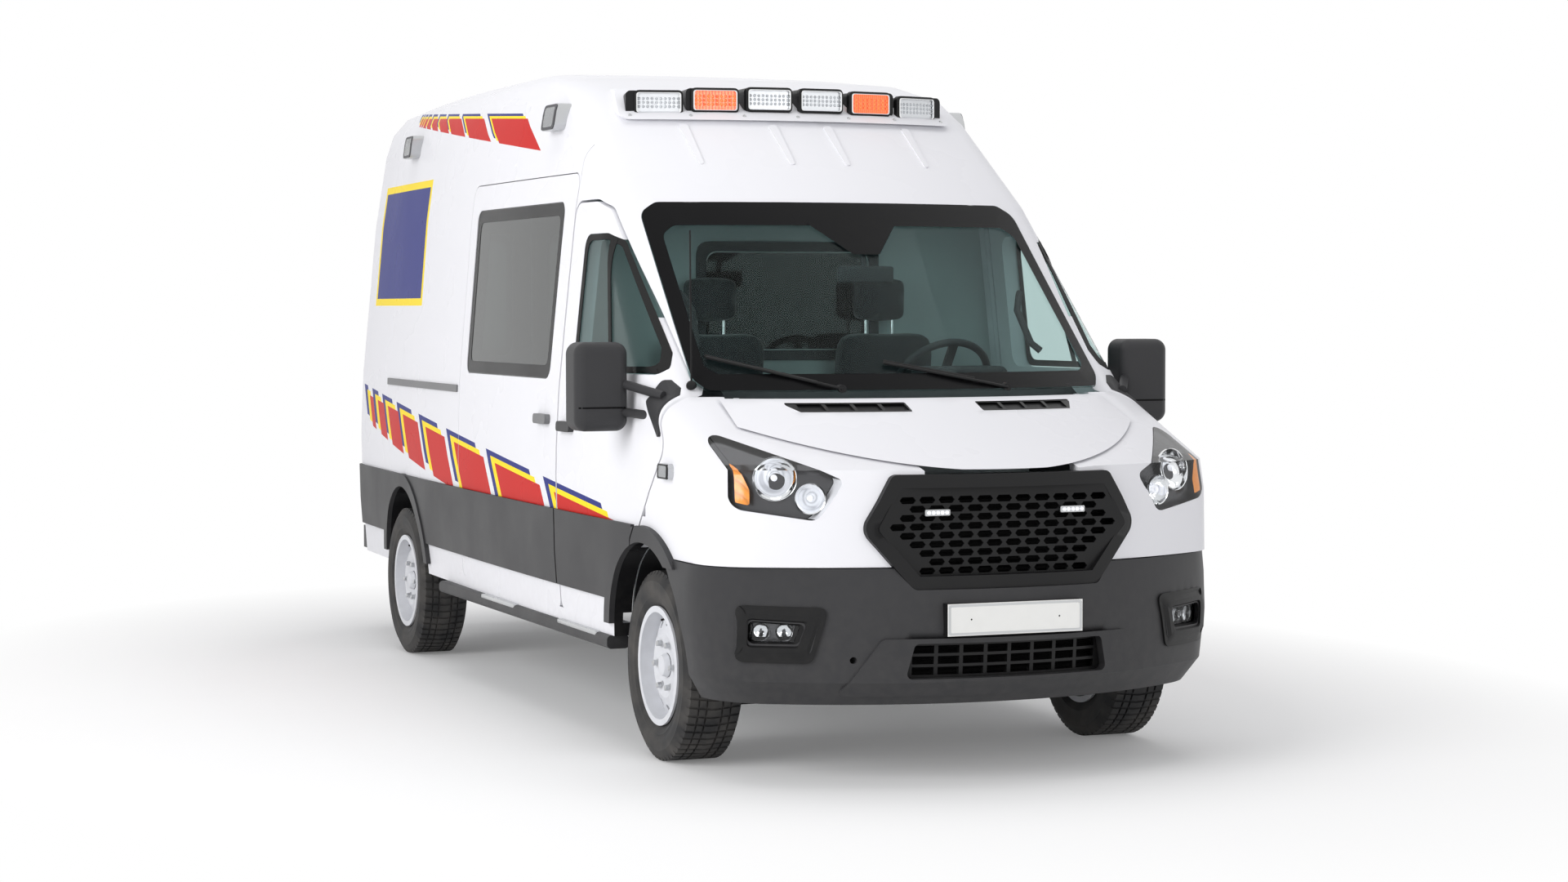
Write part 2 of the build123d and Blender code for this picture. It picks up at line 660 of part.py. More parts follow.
def body_panels(hinge_pins, bulkhead_pane):
    """Fixed panels of the body, split where the real ones meet."""
    door_hole = side_prism(CAB_DOOR, -REACH, -SIDE_IN, DOOR_GAP)
    door_holes = door_hole + mirrored(door_hole)
    slider_hole = side_prism(SLIDER, -REACH, -SIDE_IN, PANEL_GAP) - block(-REACH, 0, 0, LENGTH, 0, SILL_TOP)
    rear_hole = front_prism(REAR_DOOR, REAR_HOLE_CUT, BEHIND, DOOR_GAP)
    rear_holes = rear_hole + mirrored(rear_hole)
    windscreen_hole = front_prism(WINDSCREEN, *SCREEN_CUT)
    window = side_prism(SIDE_WINDOW, -REACH, -SIDE_IN)
    seam = SLIDER_FRONT - PANEL_GAP

    roof = largest((SHELL & block(-REACH, REACH, 0, LENGTH, ROOF_SEAM, ABOVE)) - rear_holes)
    plinth = largest(layer(-PLINTH, 0) & front_prism(PLINTH_OUTLINE, *PLINTH_CUT))
    save("roof", roof, plinth)
    frame = SHELL & block(-REACH, REACH, 0, seam - PANEL_GAP, COWL_HEIGHT + COWL_GAP, ROOF_SEAM)
    frame = largest(frame - door_holes - windscreen_hole)
    side = (SHELL & block(-REACH, 0, seam, LENGTH, SILL_TOP, ROOF_SEAM)) - rear_holes - REAR_ARCH
    right = largest(side - slider_hole)
    left = largest(mirrored(side) - mirrored(window))
    slider = largest((SHELL & side_prism(SLIDER, -REACH, -SIDE_IN)) - window)
    slider_glass = largest(GLASS_LAYER & window)
    sill = SHELL & block(-REACH, 0, SILL_FRONT, REAR_AXLE, SILL_LOW, SILL_TOP)
    sill = largest(sill - FRONT_ARCH - REAR_ARCH)
    tail_sill = SHELL & block(-REACH, 0, REAR_AXLE, LENGTH, SILL_LOW, SILL_TOP)
    tail_sill = largest(tail_sill - REAR_ARCH)
    pillar = block(-REACH, 0, PILLAR_FRONT, seam - PANEL_GAP, SILL_TOP, PILLAR_TOP)
    pillar = largest((layer(DOOR_SKIN + PILLAR_GAP, WALL) & pillar) - frame)
    screen = largest(GLASS_LAYER & windscreen_hole)
    save("cab_frame", frame)
    save("side_walls", right, left)
    save("sliding_door", slider)
    save("body_frame", both(sill), both(tail_sill), both(pillar), hinge_pins)
    save("fixed_glass", slider_glass, mirrored(slider_glass), bulkhead_pane)
    save("windscreen", screen)


def fenders_and_hood():
    """Front wings with the pins of the cab doors and hood, and the hood lid with its ears."""
    door_hole = side_prism(CAB_DOOR, -REACH, -SIDE_IN, DOOR_GAP)
    lamp_hole = front_prism(HEADLAMP, 0, LAMP_CUT, TRIM_GAP)
    grille_hole = front_prism(GRILLE, AHEAD, FRONT_CUT, TRIM_GAP)
    fender = SHELL & side_prism(FENDER_SIDE, -REACH, -FENDER_IN)
    fender = fender - block(-HOOD_EAR_OUT - HINGE_ROOM, 0, *HINGE_POCKET)
    relief = rod((-DOOR_HINGE_X, DOOR_HINGE_STATION, HINGE_RELIEF_LOW),
                 (-DOOR_HINGE_X, DOOR_HINGE_STATION, DOOR_PIN_HIGH), HINGE_RELIEF)
    fender = largest(fender - door_hole - lamp_hole - grille_hole - FRONT_ARCH - relief)
    door_pin = rod((-DOOR_HINGE_X, DOOR_HINGE_STATION, DOOR_PIN_LOW),
                   (-DOOR_HINGE_X, DOOR_HINGE_STATION, DOOR_PIN_HIGH), DOOR_PIN_RADIUS)
    hood_pin = rod((-HOOD_PIN_OUT, HOOD_HINGE_STATION, HOOD_HINGE_HEIGHT),
                   (-HOOD_EAR_IN + HOOD_PIN_LAP, HOOD_HINGE_STATION, HOOD_HINGE_HEIGHT), HOOD_PIN_RADIUS)
    fender = fender + door_pin + hood_pin
    arm = [(HOOD_HINGE_STATION + back, HOOD_HINGE_HEIGHT + rise, 0.0) for back, rise in HOOD_ARM]
    ear = side_prism(arm, -HOOD_EAR_OUT, -HOOD_EAR_IN) & envelope(HOOD_EAR_INSET)
    ear = ear + rod((-HOOD_EAR_OUT, HOOD_HINGE_STATION, HOOD_HINGE_HEIGHT),
                    (-HOOD_EAR_IN, HOOD_HINGE_STATION, HOOD_HINGE_HEIGHT), HOOD_EAR)
    bore = rod((-HOOD_BORE_OUT, HOOD_HINGE_STATION, HOOD_HINGE_HEIGHT),
               (HOOD_BORE_OUT, HOOD_HINGE_STATION, HOOD_HINGE_HEIGHT), HOOD_PIN_RADIUS + PIN_CLEARANCE)
    hood = SHELL & side_prism(HOOD_SIDE, -REACH, REACH)
    cowl = plan_outline(BODY_LEVELS[COWL_LEVEL], -HOOD_COWL_GAP, 0.0, REAR_CORNER, REAR_TAPER, SIDE_BOW)
    hood = hood - block(-REACH, REACH, 0, HOOD_NOSE_REAR, 0, HOOD_NOSE_LOW)
    hood = largest(hood - extrude(Face(cowl), amount=ABOVE, dir=(0, 0, 1)))
    hood = largest(hood + ear + mirrored(ear) - bore)
    pocket = front_prism(HOOD_VENT, *SCREEN_CUT) - envelope(VENT_POCKET)
    hood = largest(hood - pocket - mirrored(pocket))
    save("fenders", both(fender))
    save("hood", hood)
    save("hood_vents", both(hood_vent()))


def hood_vent():
    """Right vent insert: a floor with a rim and upright bars between its openings."""
    insert = layer(VENT_FACE, VENT_POCKET) & front_prism(HOOD_VENT, *SCREEN_CUT, -TRIM_GAP)
    inner, low, _ = HOOD_VENT[0]
    outer, high = HOOD_VENT[3][0], HOOD_VENT[1][1]
    pitch = (outer - inner) / VENT_COLUMNS
    for column in range(VENT_COLUMNS):
        start = inner + column * pitch
        opening = [(start - VENT_BAR, low + VENT_RIM, 0.0), (start - VENT_BAR, high - VENT_RIM, 0.0),
                   (start + pitch + VENT_BAR, high - VENT_RIM, 0.0), (start + pitch + VENT_BAR, low + VENT_RIM, 0.0)]
        insert = insert - (front_prism(opening, *SCREEN_CUT) - envelope(VENT_FLOOR))
    return largest(insert)


def rear_doors():
    """Rear doors with window holes, glass and hinge knuckles; gives back the fixed hinge pins."""
    hole = front_prism(REAR_WINDOW, REAR_CUT, BEHIND)
    door = largest((SHELL & front_prism(REAR_DOOR, REAR_CUT, BEHIND)) - hole)
    glass = largest(GLASS_LAYER & hole)
    pins = []
    for height in REAR_HINGE_HEIGHTS:
        top = height + KNUCKLE_LENGTH
        back = REAR_HINGE_STATION + LEAF_BACK
        leaf = block(REAR_HINGE_X - LEAF_WIDTH, REAR_HINGE_X, LEAF_FRONT, back, height + KNUCKLE_GAP, top)
        knuckle = leaf + rod((REAR_HINGE_X, REAR_HINGE_STATION, height + KNUCKLE_GAP),
                             (REAR_HINGE_X, REAR_HINGE_STATION, top), REAR_KNUCKLE_RADIUS)
        door = door + (knuckle - envelope(0.0))
        door = door - rod((REAR_HINGE_X, REAR_HINGE_STATION, height),
                          (REAR_HINGE_X, REAR_HINGE_STATION, top + KNUCKLE_GAP), REAR_PIN_RADIUS + PIN_CLEARANCE)
        foot = height - HINGE_PLATE_DROP
        inner, outer = REAR_HINGE_X + HINGE_PLATE[0], REAR_HINGE_X + HINGE_PLATE[1]
        seat = block(inner, outer, HINGE_PLATE_FRONT, back, foot, height)
        seat = seat + rod((REAR_HINGE_X, REAR_HINGE_STATION, foot),
                          (REAR_HINGE_X, REAR_HINGE_STATION, height), REAR_KNUCKLE_RADIUS)
        pin = rod((REAR_HINGE_X, REAR_HINGE_STATION, height - PIN_ROOT), (REAR_HINGE_X, REAR_HINGE_STATION, top),
                  REAR_PIN_RADIUS)
        pins.append(largest(seat - envelope(0.0) + pin))
    save("rear_door_left", largest(door))
    save("rear_door_right", mirrored(largest(door)))
    save("rear_glass_left", glass)
    save("rear_glass_right", mirrored(glass))
    return [both(pin) for pin in pins]


def cell(x, z):
    """One flat six-sided opening of the grille mesh."""
    half, tip, rise = CELL_WIDTH / 2, CELL_WIDTH / 2 - CELL_TIP, CELL_HEIGHT / 2
    points = [(x - half, z), (x - tip, z + rise), (x + tip, z + rise), (x + half, z), (x + tip, z - rise),
              (x - tip, z - rise)]
    return Wire(Polyline(*points, close=True).edges())


def grille_half(height):
    """Half width of the grille outline at a height."""
    (top, high, _), (wide, middle, _), (low, bottom, _) = GRILLE[5], GRILLE[4], GRILLE[3]
    if height > middle:
        return wide + (top - wide) * (height - middle) / (high - middle)
    return low + (wide - low) * (height - bottom) / (middle - bottom)


def grille_mesh():
    """Flat plate behind the grille frame with rows of six-sided openings."""
    low, high = GRILLE[2][1], GRILLE[0][1]
    margin = GRILLE_RING + MESH_MARGIN
    cells = []
    rows = int((high - low - 2 * margin) / CELL_ROW)
    columns = int(GRILLE[4][0] / CELL_PITCH) + 1
    for row in range(rows + 1):
        height = low + margin + CELL_HEIGHT / 2 + row * CELL_ROW
        room = min(grille_half(height - CELL_HEIGHT / 2), grille_half(height + CELL_HEIGHT / 2)) - margin - CELL_EDGE
        shift = CELL_PITCH / 2 if row % 2 else 0.0
        for column in range(-columns, columns + 1):
            x = column * CELL_PITCH + shift
            if abs(x) + CELL_WIDTH / 2 < room and height + CELL_HEIGHT / 2 < high - margin:
                cells.append(cell(x, height))
    outer = outline_face(Plane.XY, GRILLE, -GRILLE_RING + MESH_LAP).faces()[0].outer_wire()
    plane = Plane((0, at(MESH_STATION), 0), x_dir=(1, 0, 0), z_dir=(0, -1, 0))
    return extrude(plane * Face(outer, cells), amount=MESH_THICK, dir=(0, 1, 0))


def front_end():
    """Bumper with its lamp and air openings, grille, headlamps, fog lamps and number plate holder."""
    grille_hole = front_prism(GRILLE, AHEAD, FRONT_CUT, TRIM_GAP)
    fog = front_prism(FOG_LAMP, AHEAD, FRONT_CUT)
    air = front_prism(LOWER_GRILLE, AHEAD, FRONT_CUT)
    bumper = bumper_form(0.0) - bumper_form(BUMPER_WALL, below=FORM_OPEN)
    bumper = bumper & block(-REACH, REACH, AHEAD, BUMPER_REAR, 0, BUMPER_TOP)
    bumper = bumper - FRONT_ARCH - grille_hole - fog - mirrored(fog) - air
    bumper = largest(bumper - rod((TOW_X, AHEAD, TOW_HEIGHT), (TOW_X, FRONT_CUT, TOW_HEIGHT), TOW_RADIUS))
    proud = bumper_form(-MOULDING_PROUD) - bumper_form(0.0)
    surround = largest(proud & (front_prism(FOG_SURROUND, AHEAD, FRONT_CUT) - fog))
    chin = largest(proud & (front_prism(CHIN, AHEAD, FRONT_CUT) - air))
    ring = front_prism(GRILLE, AHEAD, FRONT_CUT) - front_prism(GRILLE, AHEAD, FRONT_CUT, -GRILLE_RING)
    ring = largest(ring & layer(-GRILLE_PROUD, TRIM_DEPTH))
    mesh = grille_mesh() - ring
    lamp = largest(layer(-HEADLAMP_PROUD, TRIM_DEPTH) & front_prism(HEADLAMP, 0, LAMP_CUT))
    fog_lamp = largest((bumper_form(FOG_INSET) - bumper_form(BUMPER_WALL, below=FORM_OPEN)) & fog)
    slats = air & (bumper_form(SLAT_INSET[0]) - bumper_form(SLAT_INSET[1], below=FORM_OPEN))
    for row in range(SLAT_COUNT[1]):
        for column in range(SLAT_COUNT[0]):
            left, low = SLAT_START[0] + column * SLAT_PITCH[0], SLAT_START[1] + row * SLAT_PITCH[1]
            slats = slats - block(left, left + SLAT_SIZE[0], AHEAD, FRONT_CUT, low, low + SLAT_SIZE[1])
    slats = largest(slats)
    holder = block(-PLATE_WIDTH / 2, PLATE_WIDTH / 2, PLATE_THICK, HOLDER_REAR, PLATE_LOW, PLATE_LOW + PLATE_HEIGHT)
    holder = largest(holder - bumper_form(0.0))
    save("front_bumper", bumper, chin, both(surround))
    save("grille", ring, largest(mesh))
    save("headlamps", both(lamp))
    save("fog_lamps", both(fog_lamp))
    save("bumper_trim", slats, holder)


def rear_end():
    """Rear bumper step, tail lamps and the two blank number plates."""
    step = largest(block(-STEP_HALF, STEP_HALF, STEP_FRONT, LENGTH, STEP_LOW, STEP_TOP) - envelope(0.0))
    lamp = largest(layer(-TAIL_LAMP_PROUD, 0) & front_prism(TAIL_LAMP, REAR_CUT, BEHIND))
    plates = []
    for front, low in ((0.0, PLATE_LOW), (LENGTH - PLATE_THICK, REAR_PLATE_LOW)):
        plate = block(-PLATE_WIDTH / 2, PLATE_WIDTH / 2, front, front + PLATE_THICK, low, low + PLATE_HEIGHT)
        for x in (-PLATE_HOLE_SPACING / 2, PLATE_HOLE_SPACING / 2):
            middle = low + PLATE_HEIGHT / 2
            plate = plate - rod((x, front - PLATE_THICK, middle), (x, front + 2 * PLATE_THICK, middle), PLATE_HOLE)
        plates.append(plate)
    half, gap = PLATE_WIDTH / 2 + PLATE_SEAT_GAP, PLATE_SEAT_GAP
    step = largest(step - block(-half, half, LENGTH - PLATE_THICK, BEHIND, REAR_PLATE_LOW - gap,
                                REAR_PLATE_LOW + PLATE_HEIGHT + gap))
    for x in (-PLATE_HOLE_SPACING / 2, PLATE_HOLE_SPACING / 2):
        middle = REAR_PLATE_LOW + PLATE_HEIGHT / 2
        step = step - rod((x, LENGTH - PLATE_SCREW_DEPTH, middle), (x, BEHIND, middle), PLATE_HOLE)
    save("rear_bumper", step)
    save("tail_lamps", both(lamp))
    save("number_plates", plates)


def body_cladding():
    """Dark lower cladding and arch flares fixed to the body, both sides."""
    door = side_prism(CAB_DOOR, -REACH, -SIDE_IN, DOOR_GAP)
    front = arch(FRONT_OVERHANG, ARCH_RADIUS + FLARE_WIDTH, -REACH, -SIDE_IN) - FRONT_ARCH
    front = FLARE_LAYER & front & block(-REACH, 0, 0, FLARE_REAR, BUMPER_TOP - FLARE_DROP, FLARE_TOP)
    front = largest(front - door - bumper_form(0.0))
    rear = arch(REAR_AXLE, ARCH_RADIUS + FLARE_WIDTH, -REACH, -SIDE_IN) - REAR_ARCH
    rear = FLARE_LAYER & rear & block(-REACH, 0, 0, LENGTH, SILL_TOP, FLARE_TOP)
    band = CLAD_LAYER & side_prism(cladding_band(SLIDER_FRONT, CLADDING_REAR), -REACH, -SIDE_IN)
    rear = largest(band + rear - REAR_ARCH)
    save("body_cladding", both(front), both(rear))


def side_fittings():
    """Sliding door handle and rail, and the side steps."""
    slide = layer(-HANDLE_PROUD, 0) & side_prism(handle(*SLIDER_HANDLE), -REACH, -SIDE_IN)
    rail = layer(-SLIDE_RAIL_PROUD, 0) & side_prism(bar(*SLIDE_RAIL), -REACH, -SIDE_IN)
    step = block(-SIDE_STEP_X[1], -SIDE_STEP_X[0], *SIDE_STEP_ENDS, SIDE_STEP_LOW, SILL_LOW)
    step = fillet(step.edges().filter_by(Axis.Y), SIDE_STEP_EDGE)
    save("slider_fittings", largest(slide), largest(rail))
    save("side_steps", both(step))


@lru_cache(maxsize=None)
def layer(outer, inner):
    """Skin of the body between two insets."""
    return envelope(outer) - envelope(inner)


def handle(station, height):
    """Side outline of a pull handle."""
    return box_outline(station, height, HANDLE_HALF, HANDLE_RISE, HANDLE_CORNER)


def box_outline(station, height, half, rise, corner):
    """Side outline of a rounded box about a middle station and height."""
    return [(station - half, height - rise, corner), (station - half, height + rise, corner),
            (station + half, height + rise, corner), (station + half, height - rise, corner)]


def bar(front, rear, low, high):
    """Side outline of a straight bar."""
    corner = SLIDE_RAIL_CORNER
    return [(front, low, corner), (front, high, corner), (rear, high, corner), (rear, low, corner)]


def mirror_unit():
    """Right mirror with its sail plate."""
    head = block(-MIRROR_HALF, -MIRROR_IN, MIRROR_FRONT, MIRROR_FRONT + MIRROR_DEPTH, MIRROR_LOW, MIRROR_HIGH)
    head = fillet(head.edges().filter_by(Axis.Y), MIRROR_EDGE)
    head = fillet(head.faces().sort_by(Axis.Y)[0].edges(), MIRROR_NOSE)
    unit = head + (layer(-SAIL_PROUD, 0) & side_prism(SAIL, -REACH, -SIDE_IN))
    for station, height, head_height in MIRROR_ARMS:
        end = (-MIRROR_IN - MIRROR_ARM_LAP[0], MIRROR_FRONT + MIRROR_ARM_LAP[1], head_height)
        unit = unit + (rod((-MIRROR_ARM_IN, station, height), end, MIRROR_ARM_RADIUS) - envelope(0.0))
    return largest(unit)


def warning_lamps():
    """Lamps across the forehead on a plinth, lamps along the roof sides and the marker lamps on the wings."""
    seat = envelope(-PLINTH)
    lamps = []
    for x in LAMP_X:
        bow = x * x / (2 * LAMP_BOW)
        height = LAMP_MIDDLE - LAMP_DROOP * (x / LAMP_X[-1]) ** 2
        body = fillet(Box(LAMP_WIDTH, LAMP_DEPTH, LAMP_HEIGHT).edges().filter_by(Axis.Y), LAMP_CORNER)
        body = Pos(x, at(LAMP_FACE + bow + LAMP_DEPTH / 2), height) * Rot(0, 0, degrees(asin(x / LAMP_BOW))) * body
        lamps.append(largest(body - seat))
    sides = []
    for station in SIDE_LAMPS:
        outline = box_outline(station, *SIDE_LAMP)
        sides += both(largest(layer(-SIDE_LAMP_PROUD, 0) & side_prism(outline, -REACH, -SIDE_IN)))
    marker = layer(-FENDER_LAMP_PROUD, 0) & side_prism(box_outline(*FENDER_LAMP), -REACH, -SIDE_IN)
    save("front_warning_lamps", lamps)
    save("side_lamps", sides, both(largest(marker)))


def wheel():
    """Tyre and pressed steel rim about the origin, outer face to plus X."""
    tyre = turned(TYRE_SECTION + [(radius, -offset_x) for radius, offset_x in reversed(TYRE_SECTION)])
    rim = turned(RIM_SECTION)
    hole = Solid.make_cylinder(RIM_HOLE_RADIUS, TYRE_WIDTH / 2, Plane((0, 0, RIM_HOLE_RING), z_dir=(1, 0, 0)))
    for index in range(RIM_HOLES):
        rim = rim - hole.rotate(Axis.X, 360.0 * index / RIM_HOLES)
    return tyre, rim


def turned(section):
    """Solid turned about the X axis from points given as radius and offset."""
    points = [(offset_x, 0, radius) for radius, offset_x in section]
    face = make_face(Polyline(*points, close=True).edges())
    return revolve(face, Axis.X, 360)


def king(height):
    """Point on the left steering axis at a height."""
    share = (height - KING_LOW[1]) / (KING_HIGH[1] - KING_LOW[1])
    return (KING_LOW[0] + share * (KING_HIGH[0] - KING_LOW[0]), FRONT_OVERHANG, height)


def hub(station):
    """Bearing, flange and spigot that carry one left wheel."""
    middle = TRACK / 2
    steps = [rod((middle + inner, station, TYRE_RADIUS), (middle + outer, station, TYRE_RADIUS), radius)
             for inner, outer, radius in HUB_STEPS]
    return steps[0] + steps[1] + steps[2]


def running_gear():
    """Wheels, knuckles, axles, springs and drive shaft."""
    tyre, rim = wheel()
    for end, station in (("front", FRONT_OVERHANG), ("rear", REAR_AXLE)):
        for side, turn in (("left", 1), ("right", -1)):
            place = Pos(turn * TRACK / 2, at(station), TYRE_RADIUS)
            for name, piece in (("tyre", tyre), ("rim", rim)):
                save(f"{name}_{end}_{side}", place * (piece if turn > 0 else mirrored(piece)))
    knuckle = hub(FRONT_OVERHANG) + rod(king(KING_LOW[1]), king(STRUT_TOP), STRUT_RADIUS)
    knuckle = knuckle - rod(king(KING_LOW[1] + STUD_HOLE[0]), king(KING_LOW[1] + STUD_HOLE[1]),
                            STUD_RADIUS + PIN_CLEARANCE)
    save("knuckle_left", largest(knuckle))
    save("knuckle_right", mirrored(largest(knuckle)))
    cross = block(-CROSS_HALF, CROSS_HALF, *CROSS_STATIONS, *CROSS_HEIGHTS)
    leg = block(*RAIL_X, *LEG_STATIONS, CROSS_HEIGHTS[1] - LEG_LAP, RAIL_LOW)
    arm = block(*ARM_X, *ARM_STATIONS, *ARM_HEIGHTS) + rod(king(STUD_LOW), king(KING_LOW[1] + STUD_LAP), STUD_RADIUS)
    save("front_suspension", largest(cross + leg + mirrored(leg) + arm + mirrored(arm)))

    def across(half, radius):
        return rod((-half, REAR_AXLE, TYRE_RADIUS), (half, REAR_AXLE, TYRE_RADIUS), radius)

    axle = across(*AXLE_TUBE) + hub(REAR_AXLE) + mirrored(hub(REAR_AXLE))
    for half, radius in AXLE_STEPS:
        axle = axle + across(half, radius)
    spring = block(*SPRING_X, *SPRING_STATIONS, *SPRING_HEIGHTS)
    front, rear = SPRING_STATIONS
    for start in (front, rear - HANGER_LENGTH):
        spring = spring + block(*HANGER_X, start, start + HANGER_LENGTH, SPRING_HEIGHTS[0], FLOOR_LOW)
    spring = spring - across(*AXLE_TUBE)
    save("rear_axle", largest(axle), both(largest(spring)))


def chassis():
    """Rails, floor, wheel houses, bulkhead and drive line; gives back the bulkhead pane."""
    fit = envelope(WALL + TRIM_GAP)
    cab_fit = envelope(WALL + DOOR_CLEAR)
    front, rear = RAIL_STATIONS
    rail = block(*RAIL_X, front, RAIL_JOINT, RAIL_LOW, FLOOR_LOW)
    rail = rail & bumper_form(BUMPER_WALL + TRIM_GAP, below=FORM_OPEN)
    rail = rail + block(*RAIL_X, RAIL_JOINT - RAIL_LAP, rear, RAIL_LOW, FLOOR_LOW)
    middle, half = sum(RAIL_X) / 2, JACK_PAD / 2
    for station in JACK_STATIONS:
        rail = rail + block(middle - half, middle + half, station - half, station + half, RAIL_LOW - JACK_DROP,
                            RAIL_LOW + RAIL_LAP)
    rail = largest(rail)
    house_front = wheel_house(FRONT_OVERHANG)
    house_rear = wheel_house(REAR_AXLE)
    floor = fit & block(-REACH, REACH, SLIDER_FRONT, FLOOR_REAR, FLOOR_LOW, FLOOR_TOP)
    floor = floor + (cab_fit & block(-REACH, REACH, FIREWALL, SLIDER_FRONT, FLOOR_LOW, FLOOR_TOP))
    for station in (FRONT_OVERHANG, REAR_AXLE):
        hollow = arch(station, ARCH_RADIUS + HOUSE_THICK, -REACH, -HOUSE_IN)
        floor = floor - hollow - mirrored(hollow)
    floor = largest(floor + block(-FIREWALL_HALF, FIREWALL_HALF, FIREWALL, FIREWALL + FIREWALL_THICK,
                                  FLOOR_LOW, FIREWALL_TOP))
    bulkhead = fit & block(-REACH, REACH, BULKHEAD, BULKHEAD + BULKHEAD_THICK, FLOOR_TOP, BULKHEAD_TOP)
    hole = front_prism(BULKHEAD_WINDOW, *BULKHEAD_CUT)
    pane = hole & block(-REACH, REACH, BULKHEAD + PANE_DEPTH[0], BULKHEAD + PANE_DEPTH[1], 0, ABOVE)
    engine = block(*ENGINE) + block(*ENGINE_MOUNTS)
    shaft = rod((0, *SHAFT_FRONT), (0, REAR_AXLE - SHAFT_END[0], TYRE_RADIUS + SHAFT_END[1]), SHAFT_RADIUS)
    house_front = house_front - (block(-REACH, 0, *HOUSE_DOOR_CUT, 0, ABOVE) - cab_fit)
    save("chassis_rails", both(rail))
    save("floor", floor, both(largest(house_front)), both(house_rear))
    save("bulkhead", largest(bulkhead - hole))
    save("drive_line", engine, shaft, block(*TANK))
    return pane


def wheel_house(station):
    """Right inner wheel house: half barrel with its inner end closed."""
    barrel = arch(station, ARCH_RADIUS + HOUSE_THICK, -REACH, -HOUSE_IN)
    barrel = barrel - arch(station, ARCH_RADIUS, -REACH, -HOUSE_IN - HOUSE_THICK)
    barrel = barrel & block(-REACH, 0, 0, LENGTH, RAIL_LOW, ABOVE)
    return largest(barrel & envelope(WALL + TRIM_GAP))


def cab_fittings():
    """Dashboard, steering wheel on its column, and two seats on plinths."""
    dash = side_prism(DASH, -DASH_HALF, DASH_HALF) & envelope(WALL + DASH_CLEAR)
    axis = Vector(0, cos(radians(COLUMN_RAKE)), sin(radians(COLUMN_RAKE)))
    centre = Vector(DRIVER_X, at(WHEEL_STATION), WHEEL_CENTRE_HEIGHT)
    plane = Plane(centre, x_dir=(1, 0, 0), z_dir=axis)
    ring = plane * Torus(WHEEL_RADIUS, WHEEL_GRIP)
    boss = plane * (Pos(0, 0, -BOSS_SINK) * Cylinder(BOSS_RADIUS, BOSS_DEPTH))
    wheel_piece = ring + boss
    spoke = Pos(WHEEL_RADIUS / 2, 0, -SPOKE_SINK) * Box(WHEEL_RADIUS, *SPOKE)
    for turn in SPOKE_TURNS:
        wheel_piece = wheel_piece + plane * (Rot(0, 0, turn) * spoke)
    foot = centre - axis * COLUMN_GAP
    column = Solid.make_cylinder(COLUMN_RADIUS, COLUMN_LENGTH, Plane(foot, z_dir=axis * -1)) - dash
    seat = side_prism(SEAT_SIDE, DRIVER_X - SEAT_HALF, DRIVER_X + SEAT_HALF)
    rest = fillet(block(DRIVER_X - REST_HALF, DRIVER_X + REST_HALF, *REST_STATIONS, *REST_HEIGHTS).edges(), REST_EDGE)
    seat = seat + rest
    for x in (DRIVER_X - POST_OFFSET, DRIVER_X + POST_OFFSET):
        seat = seat + rod((x, POST_STATION, POST_HEIGHTS[0]), (x, POST_STATION, POST_HEIGHTS[1]), POST_RADIUS)
    seat = largest(seat)
    base = block(DRIVER_X - BASE_HALF, DRIVER_X + BASE_HALF, *BASE_STATIONS, FLOOR_TOP, BASE_TOP) - seat
    save("dashboard", largest(dash), largest(column))
    save("steering_wheel", largest(wheel_piece))
    save("seats", both(seat))
    save("seat_bases", both(largest(base)))


def screen_station(x, height):
    """Station of the body front at an x and a height."""
    for low, high in zip(BODY_LEVELS, BODY_LEVELS[1:]):
        if low[0] <= height <= high[0]:
            share = (height - low[0]) / (high[0] - low[0])
            nose = low[1] + share * (high[1] - low[1])
            bow = low[2] + share * (high[2] - low[2])
            return nose + bow - sqrt(bow * bow - x * x)
    return 0.0


def on_screen(x, height, lift):
    """Point in front of the windscreen as x, station, height."""
    return (x, screen_station(x, height) - lift, height)


def screen_fittings():
    """Wiper arms with blades that follow the glass, and the whip aerial."""
    pieces = []
    for pivot_x, pivot_height, tip_x, tip_height in WIPERS:
        path = []
        for step in range(WIPER_STEPS + 1):
            share = step / WIPER_STEPS
            x = pivot_x + share * (tip_x - pivot_x)
            height = pivot_height + share * (tip_height - pivot_height)
            path.append(on_screen(x, height, WIPER_LIFT))
        wiper = rod(on_screen(pivot_x, pivot_height, WIPER_LIFT), on_screen(pivot_x, pivot_height, -PIVOT_SINK),
                    PIVOT_RADIUS)
        for start, end in zip(path, path[1:]):
            wiper = wiper + rod(start, end, WIPER_RADIUS)
            wiper = wiper + Pos(end[0], at(end[1]), end[2]) * Sphere(WIPER_RADIUS)
        pieces.append(largest(wiper - envelope(GLASS_OUTER)))
    foot = on_screen(*AERIAL_FOOT, 0.0)
    aerial = rod(foot, (foot[0] + AERIAL_LEAN[0], foot[1] + AERIAL_LEAN[1], AERIAL_TOP), AERIAL_RADIUS)
    base = Pos(foot[0], at(foot[1]), foot[2]) * Sphere(AERIAL_BASE)
    pieces.append(largest(aerial + base - envelope(0.0)))
    save("screen_fittings", pieces)


if __name__ == "__main__":
    pane = chassis()
    pins = rear_doors()
    body_panels(pins, pane)
    fenders_and_hood()
    front_end()
    rear_end()
    body_cladding()
    side_fittings()
    warning_lamps()
    running_gear()
    cab_fittings()
    screen_fittings()
    door, glass, trim = cab_door()
    mirror_right = mirror_unit()
    for side, twin in (("right", False), ("left", True)):
        for name, pieces in (("cab_door", [door]), ("cab_glass", [glass]), ("door_trim", trim),
                             ("mirror", [mirror_right])):
            save(f"{name}_{side}", [mirrored(piece) if twin else piece for piece in pieces])
